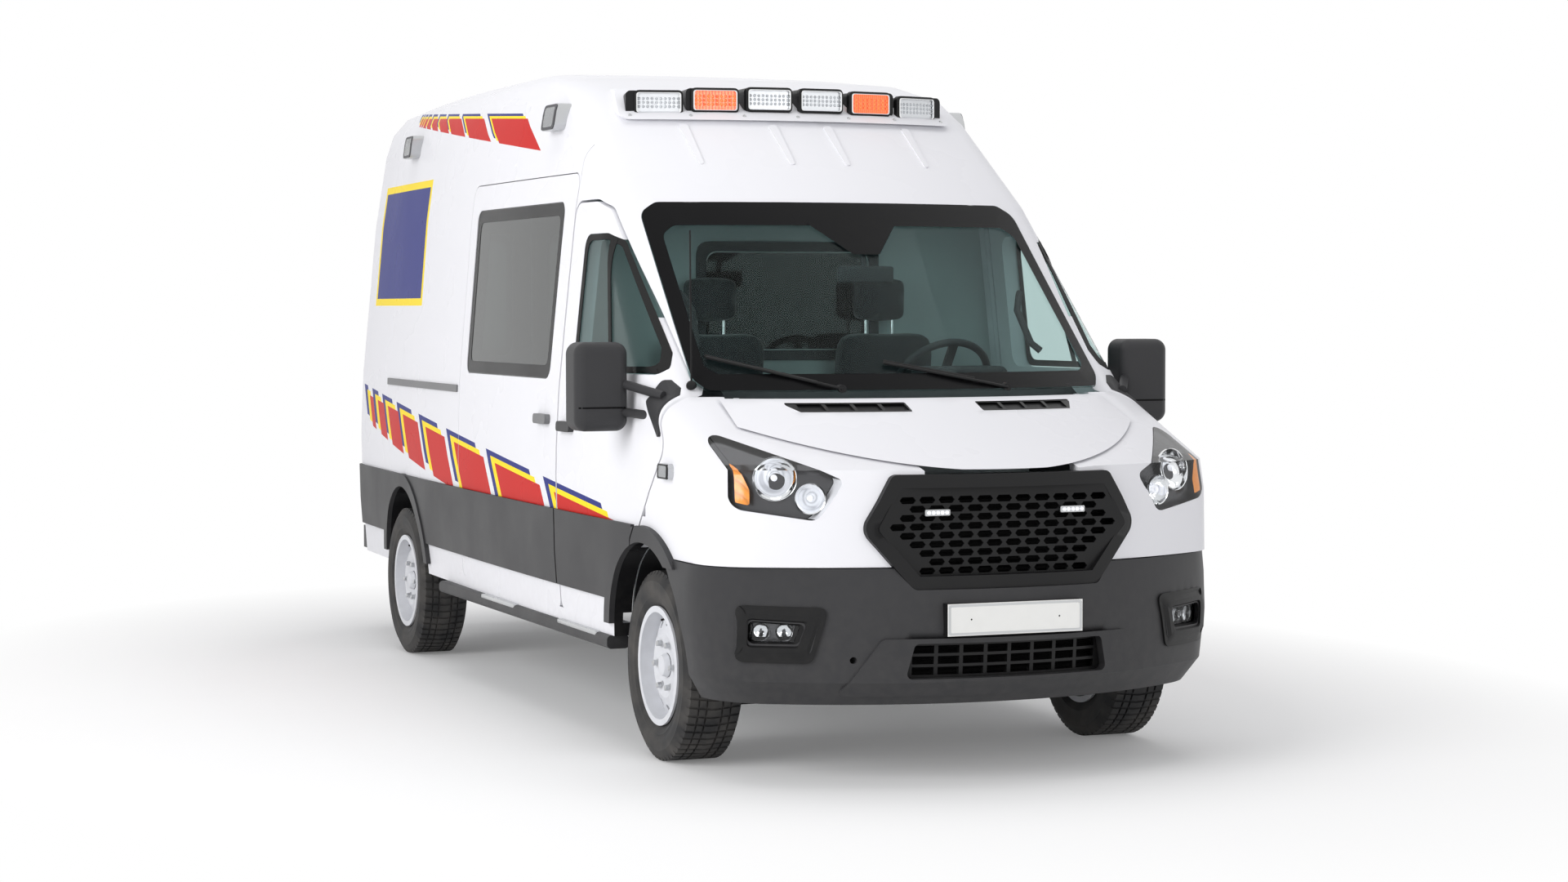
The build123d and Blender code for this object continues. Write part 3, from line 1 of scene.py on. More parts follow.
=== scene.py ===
"""Looks of a high-roof van ambulance: finishes, glass borders, lamps, tyres, seats and the studio around it.

Sizes are in metres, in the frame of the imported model: X to the vehicle's left, Y to the rear, Z up.
Stations are measured back from the front of the vehicle.
"""
import json
from math import cos, pi, radians, sin, tan

import bmesh
import bpy
from bpy.props import FloatProperty, FloatVectorProperty, IntProperty, PointerProperty
from mathutils import Matrix, Vector
from mathutils.bvhtree import BVHTree


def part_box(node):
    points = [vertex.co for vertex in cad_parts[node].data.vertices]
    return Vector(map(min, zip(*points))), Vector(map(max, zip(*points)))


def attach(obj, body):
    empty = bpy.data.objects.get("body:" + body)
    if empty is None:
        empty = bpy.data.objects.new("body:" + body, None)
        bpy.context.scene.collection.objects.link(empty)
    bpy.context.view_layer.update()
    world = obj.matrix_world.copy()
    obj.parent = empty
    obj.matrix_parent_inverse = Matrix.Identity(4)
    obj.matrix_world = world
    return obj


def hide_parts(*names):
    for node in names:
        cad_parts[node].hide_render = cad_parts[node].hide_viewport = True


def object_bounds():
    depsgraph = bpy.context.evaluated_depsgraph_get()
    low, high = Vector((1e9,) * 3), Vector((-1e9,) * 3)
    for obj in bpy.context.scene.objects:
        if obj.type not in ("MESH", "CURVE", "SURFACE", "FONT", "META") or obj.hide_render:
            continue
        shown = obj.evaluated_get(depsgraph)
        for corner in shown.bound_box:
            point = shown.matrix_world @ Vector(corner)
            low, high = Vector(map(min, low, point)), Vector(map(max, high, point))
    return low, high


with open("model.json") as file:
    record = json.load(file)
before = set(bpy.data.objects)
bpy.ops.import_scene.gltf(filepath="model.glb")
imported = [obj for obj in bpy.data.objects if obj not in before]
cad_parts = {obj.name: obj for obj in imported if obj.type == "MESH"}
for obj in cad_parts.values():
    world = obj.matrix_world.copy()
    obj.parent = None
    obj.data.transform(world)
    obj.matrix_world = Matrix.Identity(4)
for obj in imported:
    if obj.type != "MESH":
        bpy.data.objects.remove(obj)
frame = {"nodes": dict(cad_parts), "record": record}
CAD_LOW, CAD_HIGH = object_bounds()
SIDES = ((1, "left"), (-1, "right"))
ENDS = ("front", "rear")

bl_info = {
    "name": "Van Ambulance Looks",
    "version": (1, 0, 0),
    "blender": (4, 5, 0),
    "location": "3D View > Sidebar > Ambulance",
    "description": "Finishes, lamps, glass borders, tyres and cab fittings on the packed ambulance",
    "category": "Object",
}


def at(station):
    """Frame Y of a station."""
    return CAD_LOW.y + station


def colour(name, default, description):
    """A colour setting."""
    return FloatVectorProperty(name=name, description=description, subtype="COLOR", size=3, min=0, max=1,
                               default=default)


def size(name, default, description):
    """A length setting in metres."""
    return FloatProperty(name=name, description=description, default=default, unit="LENGTH",
                         subtype="DISTANCE")


def amount(name, default, description):
    """A plain setting that is never below nought."""
    return FloatProperty(name=name, description=description, default=default, min=0)


def angle(name, degrees, description):
    """An angle setting, given in degrees."""
    return FloatProperty(name=name, description=description, default=radians(degrees), subtype="ANGLE")


class PaintSettings(bpy.types.PropertyGroup):
    """Colours of the body and its livery."""

    body: colour("Body", (0.79, 0.79, 0.82), "Enamel of the body panels")
    red: colour("Stripe red", (0.56, 0.012, 0.008), "Blocks of the side stripes")
    yellow: colour("Stripe yellow", (0.95, 0.72, 0.01), "Inner edge of the side stripes")
    blue: colour("Stripe blue", (0.022, 0.03, 0.20), "Outer edge of the side stripes and the side panel")
    cladding: colour("Cladding", (0.034, 0.034, 0.036), "Moulded bumper, cladding and mirrors")
    wheel: colour("Wheels", (0.66, 0.67, 0.70), "Enamel of the steel wheels")


class LampSettings(bpy.types.PropertyGroup):
    """Lamps and their light."""

    amber: colour("Amber", (0.95, 0.30, 0.02), "Turn signals")
    lit: colour("Lit warning lamp", (1.0, 0.07, 0.02), "Light of the two lit lamps on the roof")
    glow: amount("Glow", 0.75, "Strength of the lit lamps")
    bezel: size("Bezel width", 0.011, "Width of the frame round each roof lamp")


class TyreSettings(bpy.types.PropertyGroup):
    """Road tread of the tyres."""

    blocks: IntProperty(name="Blocks", description="Tread blocks round the tyre", default=62, min=20, max=120)
    groove: size("Groove depth", 0.008, "Depth of the tread grooves")


class StageSettings(bpy.types.PropertyGroup):
    """Floor, light and camera."""

    floor: colour("Floor", (0.96, 0.96, 0.962), "Pale studio floor")
    ambient: amount("Ambient", 0.44, "Strength of the even studio light")
    key: FloatProperty(name="Key", description="Power of the large soft key light", default=560,
                       unit="POWER")
    clear: size("Plain floor", 5.4, "Distance from the vehicle where the floor fades into the white studio")
    veil: amount("Veil", 0.14, "Share of plain white in the floor by the vehicle")
    camera: FloatVectorProperty(name="Camera place", description="Where the camera stands", size=3,
                                subtype="TRANSLATION", default=(-4.565, -12.4165, 1.676))
    yaw: angle("Yaw", 21.41, "Turn of the camera from straight ahead")
    pitch: angle("Pitch", -2.56, "Tilt of the camera")
    roll: angle("Roll", -0.10, "Roll of the camera")
    lens: FloatProperty(name="Lens", description="Focal length", default=68.87, unit="CAMERA", min=1)


def settings(group):
    """One of the registered setting groups."""
    return getattr(bpy.context.scene, f"ambulance_{group}")


# Shader building blocks


def socket_values(node, values):
    """Sets inputs of a shader node by name or number."""
    for key, value in values.items():
        node.inputs[key].default_value = value
    return node


class Tree:
    """Short ways to add and join shader nodes."""

    def __init__(self, tree):
        self.tree = tree

    def add(self, kind, values=None, **attributes):
        """A new node, with its attributes and the values of its inputs."""
        node = self.tree.nodes.new(f"ShaderNode{kind}")
        for key, value in attributes.items():
            setattr(node, key, value)
        return socket_values(node, values or {})

    def feed(self, node, key, source):
        """Gives an input a socket to follow, or a plain value."""
        if isinstance(source, bpy.types.NodeSocket):
            self.tree.links.new(source, node.inputs[key])
        else:
            node.inputs[key].default_value = source

    def math(self, operation, first, second=None, third=None):
        """Result of a sum on up to three values."""
        node = self.add("Math", operation=operation)
        for index, source in enumerate((first, second, third)):
            if source is not None:
                self.feed(node, index, source)
        return node.outputs[0]

    def mix(self, factor, first, second):
        """A colour between two, by a factor."""
        node = self.add("Mix", data_type="RGBA")
        self.feed(node, "Factor", factor)
        self.feed(node, 6, first)
        self.feed(node, 7, second)
        return node.outputs[2]

    def noise(self, vector, scale, detail=3.0):
        """A noise value, mostly in the noise span."""
        node = self.add("TexNoise", {"Scale": scale, "Detail": detail})
        self.feed(node, "Vector", vector)
        return node.outputs["Fac"]

    def ramp(self, source, low, high, to_low=0.0, to_high=1.0):
        """A value carried from one span to another."""
        node = self.add("MapRange", {"From Min": low, "From Max": high, "To Min": to_low, "To Max": to_high})
        self.feed(node, "Value", source)
        return node.outputs[0]

    def place(self):
        """Place on the object, in metres."""
        return self.add("TexCoord").outputs["Object"]

    def parts(self, vector):
        """The three parts of a vector, by name."""
        node = self.add("SeparateXYZ")
        self.feed(node, 0, vector)
        return node.outputs

    def seen_directly(self):
        """One for rays from the camera, mirrors and glass, nought for the rest."""
        path = self.add("LightPath").outputs
        polished = self.math("MAXIMUM", path["Is Glossy Ray"], path["Is Transmission Ray"])
        return self.math("MAXIMUM", path["Is Camera Ray"], polished)


# Where most values of a noise lie
NOISE_SPAN = (0.3, 0.7)


def effect(name, inputs, outputs):
    """A new shader node group with float inputs and named outputs; gives its tree, inputs and output node."""
    tree = bpy.data.node_groups.new(name, "ShaderNodeTree")
    for label, default in inputs.items():
        socket = tree.interface.new_socket(label, in_out="INPUT", socket_type="NodeSocketFloat")
        socket.default_value = default
    for label, kind in outputs.items():
        tree.interface.new_socket(label, in_out="OUTPUT", socket_type=f"NodeSocket{kind}")
    entry = tree.nodes.new("NodeGroupInput")
    end = tree.nodes.new("NodeGroupOutput")
    return Tree(tree), entry.outputs, end


def grain_effect():
    """Moulded grain: cells of about a millimetre, with a broad change of shade."""
    tree, given, end = effect("Moulded grain", {"Scale": 700.0}, {"Height": "Float", "Shade": "Float"})
    place = tree.place()
    cells = tree.add("TexVoronoi", feature="SMOOTH_F1")
    tree.feed(cells, "Vector", place)
    tree.feed(cells, "Scale", given["Scale"])
    broad = tree.noise(place, 3.0)
    tree.feed(end, "Height", cells.outputs["Distance"])
    tree.feed(end, "Shade", tree.ramp(broad, *NOISE_SPAN))
    return tree.tree


def peel_effect():
    """Soft waviness of sprayed enamel, with patches that differ a little in gloss."""
    tree, given, end = effect("Enamel flow", {"Scale": 260.0}, {"Height": "Float", "Gloss": "Float"})
    place = tree.place()
    node = tree.add("TexNoise", {"Detail": 1.0})
    tree.feed(node, "Vector", place)
    tree.feed(node, "Scale", given["Scale"])
    tree.feed(end, "Height", node.outputs["Fac"])
    tree.feed(end, "Gloss", tree.ramp(tree.noise(place, 2.2), *NOISE_SPAN))
    return tree.tree


def dust_effect():
    """Road dust: most near the ground, broken up by noise."""
    tree, given, end = effect("Road dust", {"Reach": 0.7, "Amount": 0.5}, {"Mask": "Float"})
    place = tree.place()
    rise = tree.math("DIVIDE", tree.parts(place)["Z"], given["Reach"])
    fade = tree.ramp(rise, 0.3, 1.0, 1.0, 0.0)
    specks = tree.ramp(tree.noise(place, 26.0, 6.0), 0.35, 0.75)
    tree.feed(end, "Mask", tree.math("MULTIPLY", tree.math("MULTIPLY", fade, specks), given["Amount"]))
    return tree.tree


def weave_effect():
    """Plain woven cloth: two crossed sets of threads."""
    tree, given, end = effect("Woven cloth", {"Threads": 900.0}, {"Height": "Float", "Shade": "Float"})
    place = tree.place()
    bands = []
    for direction in ("X", "Z"):
        wave = tree.add("TexWave", {"Distortion": 1.5, "Detail": 1.0}, bands_direction=direction)
        tree.feed(wave, "Vector", place)
        tree.feed(wave, "Scale", given["Threads"])
        bands.append(wave.outputs["Fac"])
    tree.feed(end, "Height", tree.math("MAXIMUM", *bands))
    tree.feed(end, "Shade", tree.ramp(tree.noise(place, 60.0, 5.0), *NOISE_SPAN))
    return tree.tree


def lens_effect():
    """Fine upright flutes of a lamp lens."""
    tree, given, end = effect("Lens flutes", {"Flutes": 60.0}, {"Height": "Float"})
    parts = tree.parts(tree.place())
    across = tree.math("ADD", parts["X"], parts["Y"])
    turns = tree.math("MULTIPLY", given["Flutes"], 2 * pi)
    wave = tree.math("SINE", tree.math("MULTIPLY", across, turns))
    tree.feed(end, "Height", tree.math("ABSOLUTE", wave))
    return tree.tree


WELL_HEIGHT = 0.386
WELL_BLACK = (0.012, 0.012, 0.013)


def well_effect():
    """Wheel wells: one inside their radius round each axle, nought elsewhere."""
    tree, given, end = effect("Wheel wells", {"Radius": 0.4265}, {"Mask": "Float"})
    parts = tree.parts(tree.place())
    rise = tree.math("SUBTRACT", parts["Z"], WELL_HEIGHT)
    found = 0.0
    for name in ENDS:
        along = tree.math("SUBTRACT", parts["Y"], wheel_centre(name, 1).y)
        squares = [tree.math("MULTIPLY", leg, leg) for leg in (along, rise)]
        reach = tree.math("SQRT", tree.math("ADD", *squares))
        found = tree.math("MAXIMUM", found, tree.math("LESS_THAN", reach, given["Radius"]))
    tree.feed(end, "Mask", found)
    return tree.tree


# Livery: rows of leaning blocks along the body side, each with its front and rear station at the lower edge.
# That edge climbs and bends from its bottom at the start, and the upper edge climbs from its top.
# Lean is how far a block's ends run back for each metre up. Shift moves the blue edges back and up, and the
# yellow ones half as far.
LOWER_ROW = {
    "blocks": ((1.29, 2.010), (2.200, 2.867), (3.050, 3.580), (3.759, 4.150), (4.316, 4.661), (4.770, 5.030),
               (5.137, 5.300), (5.425, 5.520)),
    "start": 1.312, "bottom": 0.740, "climb": 0.0, "bend": 0.019, "top": 0.862, "top_climb": 0.085,
    "lean": 0.78, "shift": (0.150, 0.056),
}
UPPER_ROW = {
    "blocks": ((2.714, 3.367), (3.507, 3.910), (3.989, 4.290), (4.340, 4.540), (4.595, 4.735), (4.777, 4.880),
               (4.905, 4.985), (5.005, 5.053), (5.072, 5.125)),
    "start": 2.714, "bottom": 2.333, "climb": 0.0985, "bend": 0.0, "top": 2.468, "top_climb": 0.059,
    "lean": 2.24, "shift": (0.100, 0.028),
}
# Blue side panel behind the sliding window: middle station, middle height, half length, half height, edge
SIDE_PANEL = (5.08, 1.985, 0.56, 0.30, 0.035)
# How squarely a face has to look outward to carry the livery
SIDE_FACING = 0.35


def opaque(tint):
    """A colour with full alpha, for a socket."""
    return (*tint, 1.0)


def stripe_effect(name, row):
    """Mask of one row of leaning blocks."""
    tree, given, end = effect(name, {"Station": 0.0, "Height": 0.0}, {"Mask": "Float"})
    along = tree.math("SUBTRACT", given["Station"], row["start"])
    bend = tree.math("MULTIPLY", tree.math("MULTIPLY", along, along), row["bend"])
    base = tree.math("ADD", tree.math("MULTIPLY_ADD", along, row["climb"], row["bottom"]), bend)
    rise = tree.math("SUBTRACT", given["Height"], base)
    slanted = tree.math("MULTIPLY_ADD", rise, -row["lean"], given["Station"])
    top = tree.math("MULTIPLY_ADD", along, row["top_climb"], row["top"])
    inside = tree.math("MULTIPLY", tree.math("GREATER_THAN", rise, 0.0),
                       tree.math("LESS_THAN", given["Height"], top))
    found = 0.0
    for front, rear in row["blocks"]:
        block = tree.math("MULTIPLY", tree.math("GREATER_THAN", slanted, front),
                          tree.math("LESS_THAN", slanted, rear))
        found = tree.math("MAXIMUM", found, block)
    tree.feed(end, "Mask", tree.math("MULTIPLY", inside, found))
    return tree.tree


def livery_effect(rows):
    """Colours of the body side: enamel, both rows of blocks with their edges, and the side panel."""
    paint = settings("paint")
    tree, _, end = effect("Side livery", {}, {"Color": "Color"})
    parts = tree.parts(tree.place())
    station = tree.math("SUBTRACT", parts["Y"], at(0))
    height = parts["Z"]
    facing = tree.parts(tree.add("TexCoord").outputs["Normal"])
    outward = tree.math("MULTIPLY", facing["X"], tree.math("SIGN", parts["X"]))
    side = tree.math("GREATER_THAN", outward, SIDE_FACING)
    layers = []
    for name, row in rows:
        for tint, share in ((paint.blue, 1.0), (paint.yellow, 0.5), (paint.red, 0.0)):
            group = tree.add("Group", node_tree=bpy.data.node_groups[name])
            tree.feed(group, "Station", tree.math("SUBTRACT", station, share * row["shift"][0]))
            tree.feed(group, "Height", tree.math("SUBTRACT", height, share * row["shift"][1]))
            layers.append((tint, group.outputs["Mask"]))
    middle, level, half_length, half_height, edge = SIDE_PANEL
    off_middle = tree.math("ABSOLUTE", tree.math("SUBTRACT", station, middle))
    off_level = tree.math("ABSOLUTE", tree.math("SUBTRACT", height, level))
    for tint, inset in ((paint.yellow, 0.0), (paint.blue, edge)):
        along = tree.math("LESS_THAN", off_middle, half_length - inset)
        upright = tree.math("LESS_THAN", off_level, half_height - inset)
        layers.append((tint, tree.math("MULTIPLY", along, upright)))
    shade = opaque(paint.body)
    for tint, layer in layers:
        shade = tree.mix(tree.math("MULTIPLY", layer, side), shade, opaque(tint))
    tree.feed(end, "Color", shade)
    return tree.tree


class Finish:
    """A material in the making: its node tree and its Principled shader."""

    def __init__(self, name, values):
        self.material = bpy.data.materials.new(name)
        self.material.use_nodes = True
        self.tree = Tree(self.material.node_tree)
        self.shader = self.material.node_tree.nodes["Principled BSDF"]
        self.output = self.material.node_tree.nodes["Material Output"]
        socket_values(self.shader, values)

    def effect(self, name, values=None):
        """Places one of the shared effects and gives its outputs."""
        return self.tree.add("Group", values, node_tree=bpy.data.node_groups[name]).outputs

    def bump(self, height, distance, strength=0.4):
        """Feeds a height to the shader's normal."""
        node = self.tree.add("Bump", {"Strength": strength, "Distance": distance})
        self.tree.feed(node, "Height", height)
        self.tree.feed(self.shader, "Normal", node.outputs[0])

    def vary(self, socket, factor, first, second):
        """Feeds a colour that runs between two by a factor."""
        self.tree.feed(self.shader, socket, self.tree.mix(factor, opaque(first), opaque(second)))

    def rough(self, factor, low, high):
        """Feeds a roughness that runs between two values."""
        self.tree.feed(self.shader, "Roughness", self.tree.ramp(factor, 0.0, 1.0, low, high))

    def blend(self, factor, other):
        """Runs from the shader to another one by a factor."""
        node = self.tree.add("MixShader")
        self.tree.feed(node, 0, factor)
        self.tree.feed(node, 1, self.shader.outputs[0])
        self.tree.feed(node, 2, other.outputs[0])
        self.tree.feed(self.output, "Surface", node.outputs[0])


def shaded(tint, share):
    """A colour made darker or lighter."""
    return tuple(min(1.0, channel * share) for channel in tint)


DUST = (0.23, 0.21, 0.19)


def enamel(name, tint, livery=False, wells=False):
    """Sprayed enamel with soft waviness, and road dust low down."""
    finish = Finish(name, {"Specular IOR Level": 0.02, "Coat Weight": 0.03, "Coat Roughness": 0.05})
    flow = finish.effect("Enamel flow")
    dust = finish.effect("Road dust", {"Reach": 0.75, "Amount": 0.10})["Mask"]
    base = finish.effect("Side livery")["Color"] if livery else opaque(tint)
    if wells:
        base = finish.tree.mix(finish.effect("Wheel wells")["Mask"], base, opaque(WELL_BLACK))
    finish.tree.feed(finish.shader, "Base Color", finish.tree.mix(dust, base, opaque(DUST)))
    finish.rough(flow["Gloss"], 0.26, 0.30)
    finish.bump(flow["Height"], 0.0002, 0.03)
    return finish.material


def moulded(name, tint, scale, rough, dusty=0.06, shine=0.3):
    """Grained plastic."""
    finish = Finish(name, {"Specular IOR Level": shine})
    grain = finish.effect("Moulded grain", {"Scale": scale})
    dust = finish.effect("Road dust", {"Reach": 0.9, "Amount": dusty})["Mask"]
    worn = finish.tree.mix(grain["Shade"], opaque(shaded(tint, 0.94)), opaque(shaded(tint, 1.06)))
    finish.tree.feed(finish.shader, "Base Color", finish.tree.mix(dust, worn, opaque(DUST)))
    finish.rough(grain["Shade"], rough - 0.05, rough + 0.05)
    finish.bump(grain["Height"], 0.0006, 0.35)
    return finish.material


def metal(name, tint, rough, flow_scale=90.0):
    """Bare or plated metal."""
    finish = Finish(name, {"Metallic": 1.0})
    flow = finish.effect("Enamel flow", {"Scale": flow_scale})
    finish.vary("Base Color", flow["Gloss"], shaded(tint, 0.92), tint)
    finish.rough(flow["Gloss"], rough * 0.8, rough * 1.2)
    return finish.material


def glazing(name, tint, flutes=0.0, index=1.45):
    """Glass or a clear lens; light falls through it."""
    finish = Finish(name, {"Base Color": opaque(tint), "Roughness": 0.0, "Transmission Weight": 1.0,
                           "IOR": index})
    if flutes:
        finish.bump(finish.effect("Lens flutes", {"Flutes": flutes})["Height"], 0.002, 0.5)
    path = finish.tree.add("LightPath")
    passing = finish.tree.math("MAXIMUM", path.outputs["Is Shadow Ray"], path.outputs["Is Diffuse Ray"])
    finish.blend(passing, finish.tree.add("BsdfTransparent", {"Color": opaque(tint)}))
    return finish.material


def coloured_lens(name, tint, glow=0.0, hot=(1.0, 1.0, 1.0), flutes=45.0):
    """Coloured lamp lens, lit or not, with painted shade in the troughs between its flutes."""
    finish = Finish(name, {"Roughness": 0.12, "Coat Weight": 0.6, "Emission Strength": glow})
    ribs = finish.effect("Lens flutes", {"Flutes": flutes})
    # Painted shade: the base colour falls to six tenths of the tint in the troughs between the flutes.
    finish.vary("Base Color", ribs["Height"], shaded(tint, 0.6), tint)
    if glow:
        finish.vary("Emission Color", ribs["Height"], shaded(tint, 0.7), hot)
    finish.bump(ribs["Height"], 0.001, 0.3)
    return finish.material


def cloth(name, tint):
    """Woven seat cloth."""
    finish = Finish(name, {"Sheen Weight": 0.3, "Specular IOR Level": 0.2})
    weave = finish.effect("Woven cloth")
    finish.vary("Base Color", weave["Shade"], shaded(tint, 0.75), shaded(tint, 1.25))
    finish.rough(weave["Shade"], 0.82, 0.95)
    finish.bump(weave["Height"], 0.0008, 0.4)
    return finish.material


def rubber(name, tint):
    """Tyre rubber with a dusty bloom."""
    bloom_tint = (0.085, 0.08, 0.075)
    finish = Finish(name, {"Specular IOR Level": 0.35})
    grain = finish.effect("Moulded grain", {"Scale": 420.0})
    bloom = finish.tree.ramp(finish.tree.noise(finish.tree.place(), 9.0, 6.0), 0.4, 0.75)
    finish.vary("Base Color", bloom, tint, bloom_tint)
    finish.rough(bloom, 0.62, 0.85)
    finish.bump(grain["Height"], 0.0005, 0.3)
    return finish.material


MATERIALS = {}


def make_materials():
    """All finishes of the vehicle, by name."""
    paint, lamp = settings("paint"), settings("lamp")
    for build in (grain_effect, peel_effect, dust_effect, weave_effect, lens_effect, well_effect):
        build()
    rows = (("Lower stripe", LOWER_ROW), ("Upper stripe", UPPER_ROW))
    for name, row in rows:
        stripe_effect(name, row)
    livery_effect(rows)
    MATERIALS.update({
        "white_paint": enamel("Body enamel", paint.body, livery=True, wells=True),
        "inner_paint": enamel("Inner enamel", (0.55, 0.58, 0.585), wells=True),
        "wheel_paint": enamel("Wheel enamel", paint.wheel),
        "plate_white": enamel("Plate enamel", (0.82, 0.82, 0.80)),
        "chassis_black": enamel("Chassis enamel", (0.022, 0.022, 0.024)),
        "dark_plastic": moulded("Cladding plastic", paint.cladding, 700.0, 0.48),
        "black_plastic": moulded("Black plastic", (0.006, 0.006, 0.0065), 900.0, 0.42, 0.03),
        "cab_plastic": moulded("Cab plastic", (0.030, 0.031, 0.034), 800.0, 0.6, 0.0),
        "clear_glass": glazing("Screen glass", (0.66, 0.77, 0.76), index=1.12),
        "privacy_glass": glazing("Privacy glass", (0.10, 0.125, 0.12)),
        "lamp_clear": glazing("Clear lens", (0.95, 0.96, 0.97), index=1.3),
        "fluted": glazing("Fluted lens", (0.93, 0.95, 0.97), flutes=70.0),
        "lamp_red": coloured_lens("Red lens", (0.45, 0.012, 0.012)),
        "amber": coloured_lens("Amber lens", lamp.amber),
        "lit": coloured_lens("Lit lens", lamp.lit, lamp.glow, (1.0, 0.30, 0.06)),
        "led": coloured_lens("White light", (0.9, 0.92, 1.0), 0.5),
        "chrome": metal("Plated reflector", (0.86, 0.87, 0.88), 0.07),
        "chrome_dark": metal("Smoked plating", (0.10, 0.10, 0.105), 0.25),
        "cooler": moulded("Cooler fins", (0.006, 0.006, 0.006), 900.0, 0.7, 0.0),
        "grey_plastic": moulded("Handle plastic", (0.17, 0.17, 0.175), 700.0, 0.45),
        "led_off": coloured_lens("Unlit cell", (0.62, 0.64, 0.66)),
        "reflector": metal("Lamp reflector", (0.78, 0.79, 0.81), 0.4),
        "steel": metal("Bright steel", (0.60, 0.61, 0.62), 0.28),
        "cast_metal": metal("Cast metal", (0.16, 0.16, 0.17), 0.55, 40.0),
        "mirror": metal("Mirror glass", (0.80, 0.82, 0.84), 0.02),
        "frit": moulded("Glass border", (0.004, 0.004, 0.0045), 1200.0, 0.18, 0.0, 0.08),
        "seal": moulded("Rubber seal", (0.012, 0.012, 0.012), 500.0, 0.7, 0.1),
        "seat_fabric": cloth("Cab cloth", (0.030, 0.031, 0.035)),
        "tyre_rubber": rubber("Tyre rubber", (0.022, 0.022, 0.023)),
    })


# Mesh building blocks


def rounded(corners, steps=5):
    """Closed outline from corners given as u, v and corner radius."""
    outline = []
    for index, (u, v, radius) in enumerate(corners):
        here = Vector((u, v))
        back = Vector(corners[index - 1][:2]) - here
        ahead = Vector(corners[(index + 1) % len(corners)][:2]) - here
        if not radius:
            outline.append(here)
            continue
        reach = radius / tan(back.angle(ahead) / 2)
        start, finish = here + back.normalized() * reach, here + ahead.normalized() * reach
        for step in range(steps + 1):
            share = step / steps
            outline.append(start.lerp(here, share).lerp(here.lerp(finish, share), share))
    return outline


def spread(outline, pieces):
    """The outline with each edge cut in equal pieces."""
    points = []
    for index, here in enumerate(outline):
        ahead = outline[(index + 1) % len(outline)]
        points += [here.lerp(ahead, piece / pieces) for piece in range(pieces)]
    return points


def rectangle(u0, u1, v0, v1, radius):
    """Corners of a rectangle with one corner radius."""
    return [(u0, v0, radius), (u0, v1, radius), (u1, v1, radius), (u1, v0, radius)]


def skin_of(*names):
    """Surface of some CAD nodes, to seat pieces on."""
    points, faces = [], []
    for name in names:
        mesh = frame["nodes"][name].data
        first = len(points)
        points += [vertex.co.copy() for vertex in mesh.vertices]
        faces += [[first + index for index in polygon.vertices] for polygon in mesh.polygons]
    return BVHTree.FromPolygons(points, faces)


FAR = 6.0
# Where a skin is looked at from: start of the ray for u and v, direction of the ray
LOOKS = {
    "front": (lambda u, v: Vector((u, -FAR, v)), Vector((0, 1, 0))),
    "rear": (lambda u, v: Vector((u, FAR, v)), Vector((0, -1, 0))),
    "left": (lambda u, v: Vector((FAR, u, v)), Vector((-1, 0, 0))),
    "right": (lambda u, v: Vector((-FAR, u, v)), Vector((1, 0, 0))),
    "above": (lambda u, v: Vector((u, v, FAR)), Vector((0, 0, -1))),
}
# How far past the edge of a skin a point may lie, and how often its nearest place is looked for
EDGE_REACH = 0.04
EDGE_TRIES = 4


def seated(skin, look, u, v, lift):
    """Point on a skin seen from one side, lifted off it; just past the edge of the skin, its edge."""
    begin, direction = LOOKS[look]
    start = begin(u, v)
    place, normal, _, _ = skin.ray_cast(start, direction)
    if place is None:
        place = probe = start
        for _ in range(EDGE_TRIES):
            probe = start + direction * (place - start).dot(direction)
            place, normal, _, _ = skin.find_nearest(probe)
        if (place - probe).length > EDGE_REACH:
            raise ValueError(f"no surface at {u:.3f}, {v:.3f} seen from {look}")
    if normal.dot(direction) > 0:
        normal = -normal
    return place + normal * lift


def piece(name, mesh, finish, body="root", slot=None, smooth=True):
    """A new object from a bmesh or from vertices and faces, riding on a body."""
    data = bpy.data.meshes.new(name)
    if isinstance(mesh, bmesh.types.BMesh):
        bmesh.ops.recalc_face_normals(mesh, faces=mesh.faces)
        mesh.to_mesh(data)
        mesh.free()
    else:
        data.from_pydata([tuple(point) for point in mesh[0]], [], mesh[1])
    data.materials.append(MATERIALS[finish])
    thing = bpy.data.objects.new(name, data)
    bpy.context.scene.collection.objects.link(thing)
    if smooth:
        data.shade_smooth()
        shade_by_angle(thing)
    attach(thing, body)
    return thing


SHARP_EDGE = radians(32)
WELD_REACH = 0.00002


